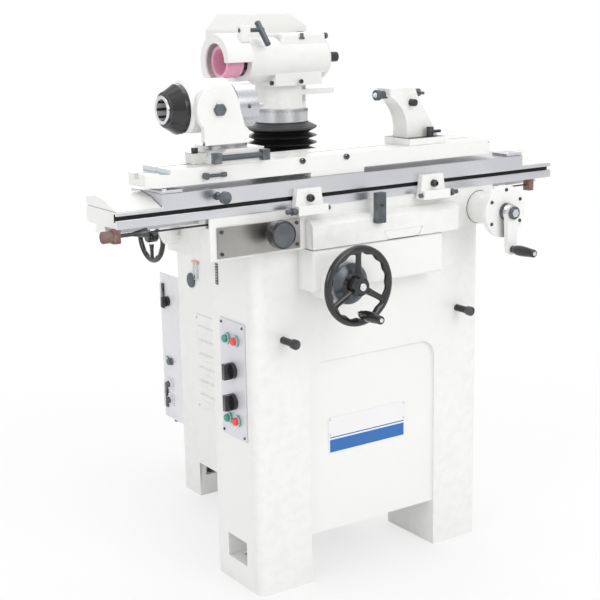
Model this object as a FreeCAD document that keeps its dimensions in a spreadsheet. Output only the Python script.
import FreeCAD, Part
import math
import os
import re
import Sketcher
from FreeCAD import Placement, Rotation, Vector

# Universal tool grinder: X runs along the table, Y from the operator to the back, Z up.
# The origin lies on the floor, midway between the two front hold-down holes.

doc = FreeCAD.newDocument("universal_tool_grinder")

# Driving dimensions in millimetres
SIZES = {
    # clearances and overruns
    "overrun": 5,
    "running_gap": 0.05,
    "seat_gap": 0.3,
    # base casting
    "base_width": 640,
    "front_depth": 180,
    "hold_down_setback": 115,
    "base_top": 790,
    "leg_width": 140,
    "front_arch_height": 112,
    "spine_width": 240,
    "spine_depth": 540,
    "rear_foot_depth": 100,
    "side_arch_height": 95,
    "casting_wall": 15,
    "corner_round": 24,
    "recess_depth": 10,
    "recess_top": 522,
    "recess_round": 42,
    "recess_draft": 7,
    "pocket_setback": 57,
    "pocket_length": 80,
    "pocket_floor": 55,
    "pocket_height": 57,
    "pocket_depth": 72,
    "hold_down_radius": 9,
    "hold_down_inset": 40,
    "rear_hold_down_spacing": 150,
    "levelling_offset": 40,
    "levelling_screw_radius": 8,
    "levelling_head_radius": 12,
    "levelling_head_height": 11,
    "levelling_nut_height": 8,
    "levelling_rise": 16,
    "rear_pocket_width": 52,
    "guide_offset": 40,
    "guide_half_width": 55,
    "guide_flare": 12,
    "guide_height": 20,
    "guide_back": 150,
    "screw_channel_width": 56,
    "screw_channel_depth": 100,
    "screw_slot_width": 36,
    "screw_slot_back": 185,
    # lifting studs, louvred cover and controls
    "lifting_stud_height": 588,
    "lifting_stud_spacing": 496,
    "lifting_stud_radius": 8,
    "lifting_stud_length": 40,
    "lifting_head_radius": 11,
    "lifting_head_length": 13,
    "louvre_front": 362,
    "louvre_length": 132,
    "louvre_bottom": 256,
    "louvre_height": 256,
    "louvre_plate": 3,
    "louvre_radius": 8,
    "louvre_count": 6,
    "louvre_pitch": 37,
    "louvre_margin": 18,
    "panel_front": -76,
    "panel_length": 103,
    "panel_bottom": 356,
    "panel_head_room": 42,
    "panel_thickness": 3,
    "panel_margin": 10,
    "panel_box_depth": 55,
    "button_radius": 9,
    "button_cap_length": 11,
    "button_stem_radius": 5,
    "button_stem_length": 26,
    "bezel_radius": 13,
    "bezel_length": 6,
    "button_spread": 36,
    "upper_buttons_height": 583,
    "lower_buttons_height": 399,
    "upper_selector_height": 512,
    "lower_selector_height": 440,
    "selector_radius": 19,
    "selector_disc": 9,
    "selector_grip_width": 11,
    "selector_grip_length": 36,
    "selector_grip_height": 16,
    "selector_stem_radius": 6,
    "selector_stem_length": 28,
    # apron gear case and cross feed
    "apron_left": -205,
    "apron_length": 360,
    "apron_depth": 59,
    "apron_bottom": 698,
    "apron_drop": 2,
    "apron_wall": 8,
    "apron_round": 9,
    "handwheel_x": -138,
    "handwheel_height": 716,
    "apron_boss_radius": 50,
    "apron_boss_length": 21,
    "feed_shaft_radius": 12,
    "feed_dial_radius": 45,
    "feed_dial_length": 17,
    "handwheel_plane": -244,
    "handwheel_radius": 88,
    "rim_thickness": 8,
    "rim_scallop_radius": 13,
    "rim_scallop_depth": 4,
    "rim_scallop_count": 15,
    "hub_radius": 20,
    "hub_length": 30,
    "spoke_radius": 7,
    "grip_throw": 60,
    "grip_pin_radius": 5,
    "grip_length": 72,
    "grip_neck_radius": 8,
    "grip_belly_radius": 12,
    "grip_end_radius": 10,
    "feed_screw_x": -80,
    "feed_screw_height": 735,
    "feed_screw_back": 150,
    "feed_gear_width": 14,
    "feed_gear_teeth": 20,
    "feed_gear_backlash_share": 0.15,
    "feed_nut_rest": -25,
    "feed_nut_length": 24,
    "feed_nut_width": 30,
    "feed_nut_drop": 18,
    # saddle
    "saddle_left": -440,
    "saddle_length": 770,
    "saddle_front": -145,
    "saddle_depth": 191,
    "saddle_top": 880,
    "saddle_block_left": -205,
    "saddle_block_length": 405,
    "saddle_block_depth": 29,
    "saddle_block_top": 852,
    "saddle_round": 12,
    "saddle_boss_radius": 27,
    "saddle_boss_length": 22,
    "saddle_boss_back": 40,
    "cover_plate_left": -424,
    "cover_plate_length": 203,
    "cover_plate_bottom": 795,
    "cover_plate_height": 64,
    "cover_plate_thickness": 4,
    "cover_screw_radius": 4,
    "cover_screw_inset": 9,
    "cover_screw_head": 2.5,
    "table_guide_half_width": 26,
    "table_guide_flare": 9,
    "table_guide_height": 16,
    "rope_channel_width": 12,
    "rope_channel_depth": 22,
    "stop_x": -33,
    "stop_width": 24,
    "stop_thickness": 16,
    "stop_bottom": 832,
    "stop_height": 67,
    "stop_screw_radius": 5,
    "lock_x": -298,
    "lock_height": 838,
    "lock_stem_radius": 10,
    "lock_stem_length": 16,
    "lock_collar_radius": 20,
    "lock_collar_length": 22,
    "lock_head_radius": 30,
    "lock_head_length": 24,
    "lock_sink": 20,
    # table crank
    "crank_x": 288,
    "crank_height": 830,
    "crank_flange_radius": 38,
    "crank_plate_radius": 60,
    "crank_flange_length": 12,
    "crank_barrel_radius": 37,
    "crank_barrel_length": 64,
    "crank_plate_length": 14,
    "crank_shaft_radius": 14,
    "crank_hub_radius": 20,
    "crank_hub_length": 12,
    "crank_throw": 84,
    "crank_arm_thickness": 12,
    "crank_arm_hub_radius": 17,
    "crank_arm_end_radius": 13,
    "crank_screw_radius": 4,
    "crank_screw_head": 3,
    "crank_screw_throw": 50,
    "crank_screw_count": 6,
    "crank_nut_radius": 10,
    "crank_nut_length": 9,
    "drum_radius": 34,
    "drum_length": 10,
    "drum_clearance": 5,
    # lower table
    "table_left": -649,
    "table_length": 1162,
    "table_depth": 135,
    "table_front_step": 4,
    "table_lip_height": 34,
    "left_cover_length": 102,
    "right_cover_length": 93,
    "table_block_height": 26,
    "trip_slot_height": 22,
    "trip_slot_width": 8,
    "trip_slot_depth": 6,
    "trip_slot_undercut": 16,
    "trip_slot_undercut_depth": 6,
    "end_cover_crown": 25,
    "end_cover_edge": 17,
    "rope_radius": 2,
    "rope_bracket_width": 16,
    "rope_bracket_depth": 20,
    "rope_bracket_drop": 28,
    "rope_right_end": 446,
    "rope_socket_length": 26,
    "rope_socket_radius": 10,
    "rope_rod_radius": 4,
    "rope_rod_length": 34,
    "rope_knob_radius": 12,
    "rope_knob_length": 20,
    "rope_bracket_overhang": 6,
    # trip dogs
    "left_dog_x": -206,
    "right_dog_x": 132,
    "dog_width": 76,
    "dog_taper": 8,
    "dog_height": 54,
    "dog_below_slot": 34,
    "dog_thickness": 15,
    "dog_nose_height": 20,
    "dog_nose_depth": 16,
    "dog_bolt_radius": 8,
    "dog_bolt_head": 8,
    "dog_screw_radius": 5,
    "dog_screw_outer_reach": 26,
    "dog_screw_inner_reach": 8,
    "dog_nut_radius": 8,
    "dog_nut_length": 9,
    # index plunger and end clamps
    "plunger_x": -424,
    "plunger_height": 926,
    "plunger_radius": 6,
    "plunger_reach": 30,
    "plunger_sink": 30,
    "plunger_head_radius": 13,
    "plunger_head_length": 11,
    "clamp_plate_length": 48,
    "clamp_plate_depth": 52,
    "clamp_plate_thickness": 6,
    "clamp_plate_inset": 3,
    "clamp_bolt_radius": 6,
    "clamp_bolt_inset": 12,
    "clamp_bolt_head": 3,
    # swivel table
    "swivel_left": -565,
    "swivel_length": 910,
    "swivel_front": -135,
    "swivel_depth": 120,
    "swivel_gap": 10,
    "swivel_thickness": 35,
    "swivel_end_wall": 46,
    "swivel_end_step": 9,
    "swivel_corner": 20,
    "swivel_rear_corner": 26,
    "swivel_boss_half_length": 71,
    "pivot_pin_radius": 20,
    "pivot_pin_length": 24,
    "slot_width": 14,
    "slot_neck_depth": 11,
    "slot_foot_width": 24,
    "slot_foot_depth": 9,
    "clamp_lever_x": -441,
    "clamp_lever_drop": 19,
    "clamp_lever_hub_radius": 7,
    "clamp_lever_hub_length": 10,
    "clamp_lever_length": 42,
    "clamp_lever_radius": 3.5,
    "clamp_lever_end_radius": 5,
    # workhead
    "workhead_x": -412,
    "centre_height": 113,
    "workhead_base_left": -416,
    "workhead_base_length": 115,
    "workhead_base_front": -140,
    "workhead_base_depth": 130,
    "workhead_base_height": 31,
    "workhead_base_corner": 26,
    "workhead_ring_radius": 46,
    "workhead_ring_height": 11,
    "workhead_ring_x": -356,
    "adjuster_left": -428,
    "adjuster_length": 132,
    "adjuster_block": 17,
    "adjuster_height": 22,
    "adjuster_depth": 15,
    "adjuster_lift": 4,
    "adjuster_rod_radius": 6,
    "base_bolt_radius": 8,
    "base_bolt_height": 10,
    "base_lug_length": 26,
    "base_lug_width": 36,
    "base_lug_height": 22,
    "cheek_x": -395,
    "yoke_foot_half_length": 52,
    "yoke_foot_height": 8,
    "yoke_step_height": 27,
    "cheek_thickness": 16,
    "cheek_front": -151,
    "cheek_radius": 50,
    "pivot_bolt_radius": 12,
    "pivot_bolt_head_radius": 13,
    "pivot_bolt_head_length": 10,
    "head_barrel_radius": 58,
    "head_barrel_left": -462,
    "head_barrel_right": -347,
    "head_flat": 47,
    "head_neck_radius": 40,
    "head_neck_depth": 24,
    "spindle_radius": 29,
    "spindle_bore_radius": 22,
    "spindle_left": -502,
    "nose_nut_left": -496,
    "nose_nut_small_radius": 36,
    "nose_nut_large_radius": 51,
    "nose_nut_collar": 10,
    "index_drum_radius": 48,
    "index_drum_length": 48,
    "index_pin_radius": 4,
    "index_pin_length": 14,
    "index_pin_circle": 38,
    # tailstock
    "tailstock_nose_x": 61,
    "tailstock_top_back": 131,
    "tailstock_shoulder_back": 139,
    "tailstock_shoulder_drop": 19,
    "tailstock_heel": 198,
    "tailstock_heel_height": 15,
    "tailstock_front": -100,
    "tailstock_width": 50,
    "tailstock_above_centre": 14,
    "tailstock_throat_radius": 88,
    "tailstock_throat_x": 20,
    "tailstock_throat_height": 32,
    "tailstock_toe": 92,
    "tailstock_base_front": -130,
    "tailstock_base_depth": 92,
    "quill_radius": 9,
    "quill_reach": 35,
    "quill_collar_radius": 12,
    "quill_collar_length": 10,
    "quill_point_length": 12,
    "quill_tail": 24,
    "quill_lever_radius": 3.5,
    "quill_lever_length": 26,
    "tail_knob_radius": 8,
    "tail_knob_length": 14,
    "tail_knob_x": 120,
    "tail_knob_drop": 33,
    "tail_bolt_x": 163,
    "tail_bolt_radius": 8,
    "tail_bolt_height": 22,
    "tail_lever_length": 30,
    # column and elevating gear
    "column_y": 253,
    "column_radius": 60,
    "column_bore_radius": 30,
    "column_foot": 480,
    "column_head": 1022,
    "column_bore_floor": 360,
    "chamber_front": 285,
    "lift_screw_y": 340,
    "lift_screw_radius": 12,
    "lift_screw_bottom": 350,
    "lift_screw_top": 740,
    "lift_arm_width": 44,
    "lift_arm_height": 40,
    "lift_arm_back": 26,
    "lift_shaft_height": 762,
    "lift_shaft_radius": 9,
    "crown_gear_radius": 19,
    "crown_gear_height": 14,
    "lift_pinion_length": 14,
    "lift_pinion_right": -18,
    "lift_wheel_x": -322,
    "lift_wheel_radius": 64,
    "lift_rim_thickness": 6,
    "lift_hub_radius": 14,
    "lift_hub_length": 26,
    "lift_spoke_radius": 5,
    "lift_grip_radius": 8,
    "lift_grip_length": 55,
    "lift_boss_radius": 22,
    "lift_boss_length": 30,
    "bellows_root_radius": 68,
    "bellows_tip_radius": 87,
    "bellows_wall": 2,
    "bellows_rim": 5,
    "bellows_fold_count": 8,
    "bellows_side_count": 36,
    "bellows_cap": 9,
    "scale_ring_radius": 65,
    "scale_ring_height": 32,
    # wheelhead
    "neck_radius": 61,
    "neck_height": 57,
    "tongue_length": 66,
    "tongue_width": 36,
    "tongue_thickness": 13,
    "tongue_lift": 32,
    "wheel_axis_y": 215,
    "wheel_axis_height": 1172,
    "barrel_left": -136,
    "barrel_right": 95,
    "barrel_radius": 53,
    "barrel_bore_radius": 34,
    "barrel_end_round": 14,
    "head_pad_left": -45,
    "head_pad_right": 82,
    "head_pad_height": 61,
    "head_pad_width": 78,
    "head_pad_round": 8,
    "head_foot_half_length": 66,
    "head_foot_front": 172,
    "head_foot_back": 300,
    "head_saddle_back": 277,
    "belt_slot_left": 66,
    "belt_slot_width": 22,
    "grinding_spindle_radius": 14,
    "bearing_length": 24,
    "bearing_inset": 10,
    "spindle_pulley_radius": 27,
    "motor_pulley_radius": 33,
    "pulley_width": 16,
    "belt_thickness": 4,
    "belt_width": 14,
    "motor_y": 356,
    "motor_height": 1192,
    "motor_radius": 56,
    "motor_left": -84,
    "motor_right": 66,
    "motor_foot_height": 16,
    "cover_left": -100,
    "cover_right": 95,
    "cover_bottom": 1118,
    "cover_back": 432,
    "cover_wall": 5,
    "cover_top": 1278,
    "cover_left_shoulder": 1240,
    "cover_left_run": 17,
    "cover_right_shoulder": 1246,
    "cover_right_run": 48,
    "rear_flange_radius": 32,
    "rear_flange_length": 14,
    "rear_nut_radius": 12,
    "rear_nut_length": 30,
    "wheel_flange_radius": 24,
    "wheel_flange_length": 8,
    "wheel_radius": 38,
    "wheel_length": 46,
    "wheel_wall": 9,
    "wheel_back": 12,
    "wheel_bore_radius": 10,
    "wheel_nut_radius": 15,
    "wheel_nut_length": 8,
    "guard_radius": 64,
    "guard_wall": 7,
    "guard_left": -205,
    "guard_mouth_radius": 43,
    "guard_end_plate": 6,
    "guard_back_drop": 40,
    "guard_lug_width": 22,
    "guard_lug_length": 24,
    "guard_lug_height": 26,
    "guard_rod_radius": 5,
    "guard_rod_height": 1243,
    "guard_rod_y": 176,
    "guard_rod_length": 66,
    "guard_bar_radius": 7,
    "guard_bar_length": 66,
    "guard_bar_lean": 138,
    # electrical cabinet and oil supply
    "cabinet_half_width": 103,
    "cabinet_depth": 103,
    "cabinet_bottom": 170,
    "cabinet_height": 415,
    "cabinet_wall": 3,
    "door_thickness": 13,
    "door_hinge_radius": 5,
    "door_hinge_length": 70,
    "door_hinge_leaf": 10,
    "door_hinge_inset": 30,
    "contactor_plate": 3,
    "contactor_depth": 55,
    "contactor_width": 45,
    "contactor_height": 70,
    "transformer_width": 90,
    "transformer_height": 80,
    "switch_setback": 76,
    "switch_height": 508,
    "switch_radius": 14,
    "switch_length": 20,
    "switch_grip": 8,
    "socket_setback": 76,
    "lamp_setback": 90,
    "lamp_radius": 9,
    "reset_button_setback": 68,
    "lamp_height": 338,
    "upper_socket_height": 272,
    "lower_socket_height": 226,
    "socket_radius": 9,
    "socket_length": 11,
    "oil_tank_width": 72,
    "oil_tank_depth": 74,
    "oil_tank_front": -18,
    "oil_tank_bottom": 505,
    "oil_tank_height": 84,
    "oil_cap_radius": 16,
    "oil_cap_height": 12,
    "oil_bracket_thickness": 4,
    "sight_tube_radius": 2.5,
    "sight_tube_y": 486,
    "sight_tube_bottom": 606,
    "sight_tube_height": 48,
    "sight_tube_spread": 9,
}

# Places worked out from the driving dimensions
PLACES = {
    "half_base": "base_width / 2",
    "base_front": "-hold_down_setback",
    "front_back": "base_front + front_depth",
    "spine_half": "spine_width / 2",
    "spine_back": "front_back + spine_depth",
    "rear_foot_front": "spine_back - rear_foot_depth",
    "arch_half": "half_base - leg_width",
    "hold_down_x": "half_base - hold_down_inset",
    "pocket_front": "base_front + pocket_setback",
    "pocket_back": "pocket_front + pocket_length",
    "rear_hole_x": "rear_hold_down_spacing / 2",
    "rear_hole_y": "spine_back - hold_down_inset",
    "channel_left": "feed_screw_x - screw_channel_width / 2",
    "channel_right": "feed_screw_x + screw_channel_width / 2",
    "panel_face": "-half_base - panel_thickness",
    "panel_centre": "panel_front + panel_length / 2",
    "apron_front": "base_front - apron_depth",
    "apron_top": "base_top - apron_drop",
    "gear_distance": "sqrt((feed_screw_x - handwheel_x) ^ 2 + (feed_screw_height - handwheel_height) ^ 2)",
    "gear_back": "apron_front + apron_wall + seat_gap + feed_gear_width",
    "saddle_bottom": "base_top + seat_gap",
    "saddle_right": "saddle_left + saddle_length",
    "saddle_back": "saddle_front + saddle_depth",
    "block_front": "saddle_front - saddle_block_depth",
    "table_bottom": "saddle_top + seat_gap",
    "table_front": "saddle_front - table_front_step",
    "table_back": "table_front + table_depth",
    "table_right": "table_left + table_length",
    "table_lip_top": "table_bottom + table_lip_height",
    "table_block_left": "table_left + left_cover_length",
    "table_block_right": "table_right - right_cover_length",
    "panel_height": "upper_buttons_height + panel_head_room - panel_bottom",
    "table_block_top": "table_lip_top + table_block_height",
    "trip_slot_centre": "table_bottom + trip_slot_height",
    "rope_y": "table_front + rope_channel_width / 2 + table_front_step * 2",
    "rope_height": "crank_height + drum_radius + rope_radius + seat_gap",
    "swivel_bottom": "table_block_top + swivel_gap",
    "swivel_top": "swivel_bottom + swivel_thickness",
    "swivel_right": "swivel_left + swivel_length",
    "swivel_x": "swivel_left + swivel_length / 2",
    "swivel_y": "swivel_front + swivel_depth / 2",
    "work_axis": "swivel_top + centre_height",
    "workhead_base_top": "swivel_top + seat_gap + workhead_base_height",
    "ring_top": "workhead_base_top + workhead_ring_height",
    "yoke_bottom": "ring_top + seat_gap",
    "yoke_floor": "yoke_bottom + yoke_foot_height",
    "yoke_step": "yoke_bottom + yoke_step_height",
    "cheek_back": "cheek_front + cheek_thickness",
    "tail_bottom": "swivel_top + seat_gap",
    "tail_top": "work_axis + tailstock_above_centre",
    "bellows_bottom": "base_top + seat_gap",
    "scale_ring_bottom": "column_head + seat_gap",
    "neck_bottom": "scale_ring_bottom + scale_ring_height + seat_gap",
    "neck_top": "neck_bottom + neck_height",
    "foot_bottom": "neck_top + seat_gap",
    "pad_top": "wheel_axis_height + head_pad_height",
    "guard_right": "barrel_left - seat_gap",
    "cabinet_front": "spine_back + seat_gap",
    "cabinet_back": "cabinet_front + cabinet_depth",
    "cabinet_top": "cabinet_bottom + cabinet_height",
    "door_back": "cabinet_back + seat_gap + door_thickness",
    "dog_plate_front": "table_front - seat_gap - dog_thickness",
    "dog_screw_y": "dog_plate_front - dog_nose_depth / 2",
    "dog_bottom": "trip_slot_centre - dog_below_slot",
    "dog_screw_height": "dog_bottom + dog_nose_height / 2",
}

sheet = doc.addObject("Spreadsheet::Sheet", "Sizes")
for row, (alias, number) in enumerate(SIZES.items(), start=1):
    sheet.set(f"A{row}", alias)
    sheet.set(f"B{row}", str(number))
    sheet.setAlias(f"B{row}", alias)
doc.recompute()

WORD = re.compile(r"[a-z][a-z0-9_]*")
TURN = {
    "z": Rotation(),
    "x": Rotation(Vector(0, 1, 0), 90),
    "-x": Rotation(Vector(0, 1, 0), -90),
    "y": Rotation(Vector(1, 0, 0), -90),
    "-y": Rotation(Vector(1, 0, 0), 90),
}
ACROSS = {"x": "yz", "y": "xz", "z": "xy"}
PLANE = {"x": "YZ_Plane", "y": "XZ_Plane", "z": "XY_Plane"}
SUB_PARTS = []


def formula(text):
    """Write a formula in named sizes as an expression on the sheet's cells."""

    def resolve(match):
        word = match.group()
        if word in PLACES:
            return f"({formula(PLACES[word])})"
        return f"Sizes.{word}" if word in SIZES else word

    return WORD.sub(resolve, text)


def value(text):
    """Return the number that a formula gives now."""
    return float(sheet.evalExpression(formula(text)))


def sub_part(label, item):
    """Name an object as a sub-part, which gets a file of its own."""
    item.Label = label
    SUB_PARTS.append(item)
    return item


def place(item, x="0", y="0", z="0", axis="z"):
    """Turn an object's Z axis to the given axis and bind its place to the sheet."""
    item.Placement = Placement(Vector(), TURN[axis])
    item.setExpression("Placement.Base.x", formula(x))
    item.setExpression("Placement.Base.y", formula(y))
    item.setExpression("Placement.Base.z", formula(z))
    return item


def box(x, y, z):
    """Make a block from pairs of low and high formulas along X, Y and Z."""
    item = doc.addObject("Part::Box", "block")
    for side, (low, high) in zip(("Length", "Width", "Height"), (x, y, z)):
        item.setExpression(side, formula(f"({high}) - ({low})"))
    return place(item, x[0], y[0], z[0])


def along(axis, centre, low):
    """Return the place of an object that starts at low on an axis through centre."""
    spot = dict(zip(ACROSS[axis], centre))
    spot[axis] = low
    return spot


def rod(axis, centre, low, high, radius):
    """Make a cylinder along an axis through centre, from low to high."""
    item = doc.addObject("Part::Cylinder", "rod")
    item.setExpression("Radius", formula(radius))
    item.setExpression("Height", formula(f"({high}) - ({low})"))
    return place(item, axis=axis, **along(axis, centre, low))


def cone(axis, centre, low, high, low_radius, high_radius):
    """Make a cone along an axis through centre, from low to high."""
    item = doc.addObject("Part::Cone", "taper")
    item.setExpression("Radius1", formula(low_radius))
    item.setExpression("Radius2", formula(high_radius))
    item.setExpression("Height", formula(f"({high}) - ({low})"))
    return place(item, axis=axis, **along(axis, centre, low))


def hexagon(axis, centre, low, high, radius):
    """Make a six-sided prism along an axis through centre, from low to high."""
    item = doc.addObject("Part::Prism", "hexagon")
    item.Polygon = 6
    item.setExpression("Circumradius", formula(radius))
    item.setExpression("Height", formula(f"({high}) - ({low})"))
    return place(item, axis=axis, **along(axis, centre, low))


def fuse(*pieces):
    """Join pieces into one solid, or group separate ones."""
    item = doc.addObject("Part::MultiFuse", "joined")
    item.Refine = False
    item.Shapes = list(pieces)
    return item


def cut(base, *tools):
    """Cut tools from a base."""
    item = doc.addObject("Part::Cut", "cut")
    item.Base = base
    item.Tool = tools[0] if len(tools) == 1 else fuse(*tools)
    return item


def common(base, tool):
    """Keep what two pieces share."""
    item = doc.addObject("Part::Common", "shared")
    item.Base = base
    item.Tool = tool
    return item


def group(*pieces):
    """Keep separate solids of one sub-part together."""
    item = doc.addObject("Part::Compound", "group")
    item.Links = list(pieces)
    return item


def outline(body, plane, points, offset="0"):
    """Draw a closed outline whose corners are bound to formulas, on a plane of its body."""
    sketch = body.newObject("Sketcher::SketchObject", "outline")
    support = [f for f in body.Origin.OriginFeatures if f.Role == plane]
    sketch.AttachmentSupport = [(support[0], "")]
    sketch.MapMode = "FlatFace"
    sketch.setExpression("AttachmentOffset.Base.z", formula(offset))
    corners = [Vector(value(a), value(b), 0) for a, b in points]
    for start, end in zip(corners, corners[1:] + corners[:1]):
        sketch.addGeometry(Part.LineSegment(start, end), False)
    for index, (a, b) in enumerate(points):
        following = (index + 1) % len(points)
        sketch.addConstraint(Sketcher.Constraint("Coincident", index, 2, following, 1))
        for kind, text, now in (
            ("DistanceX", a, corners[index].x),
            ("DistanceY", b, corners[index].y),
        ):
            number = sketch.addConstraint(Sketcher.Constraint(kind, index, 1, now))
            sketch.setExpression(f"Constraints[{number}]", formula(text))
    return sketch


def prism(axis, low, high, points, name="section"):
    """Pad an outline along an axis from low to high. Its points are in the other two axes."""
    body = doc.addObject("PartDesign::Body", name)
    offset = f"-({high})" if axis == "y" else low
    pad = body.newObject("PartDesign::Pad", "pad")
    pad.Profile = outline(body, PLANE[axis], points, offset)
    pad.setExpression("Length", formula(f"({high}) - ({low})"))
    return body


def turned(axis, centre, start, points, name="turned"):
    """Revolve an outline of (radius, distance) points round an axis, from start onwards."""
    body = doc.addObject("PartDesign::Body", name)
    profile = outline(body, "XZ_Plane", points)
    turn = body.newObject("PartDesign::Revolution", "revolve")
    turn.Profile = profile
    turn.ReferenceAxis = (profile, ["V_Axis"])
    turn.Angle = 360
    return place(body, axis=axis, **along(axis[-1], centre, start))


def steps(*runs):
    """Return the profile of a stepped shaft from (radius, length) runs."""
    points = [("0", "0")]
    reach = "0"
    for radius, length in runs:
        points.append((radius, reach))
        reach = f"{reach} + {length}"
        points.append((radius, reach))
    return points + [("0", reach)]


def round_edges(item, radius, wanted):
    """Fillet the edges of a body's last feature that a test picks by middle and direction."""
    doc.recompute()
    names = []
    for number, edge in enumerate(item.Shape.Edges, start=1):
        if len(edge.Vertexes) != 2:
            continue
        first, last = edge.Vertexes[0].Point, edge.Vertexes[1].Point
        if wanted((first + last) * 0.5, (last - first).normalize()):
            names.append(f"Edge{number}")
    last_feature = item.Tip
    feature = item.newObject("PartDesign::Fillet", "round")
    feature.Base = (last_feature, names)
    feature.setExpression("Radius", formula(radius))
    item.Tip = feature
    doc.recompute()
    return item


def pocket(body, plane, points, offset, depth, reverse):
    """Cut an outline into a body."""
    sketch = outline(body, plane, points, offset)
    item = body.newObject("PartDesign::Pocket", "pocket")
    item.Profile = sketch
    item.setExpression("Length", formula(depth))
    item.Reversed = reverse
    return item


def rectangle(a, b):
    """Return the corners of a rectangle from two pairs of formulas."""
    return [(a[0], b[0]), (a[1], b[0]), (a[1], b[1]), (a[0], b[1])]


def mirrored(text):
    """Return a formula and its opposite."""
    return (text, f"-({text})")


def polar(count, throw):
    """Return (across, up) formulas of count places on a circle, the first straight down."""
    places = []
    for index in range(count):
        turn = 360 * index / count
        places.append(
            (f"({throw}) * sin({turn})", f"-({throw}) * cos({turn})")
        )
    return places


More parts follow.
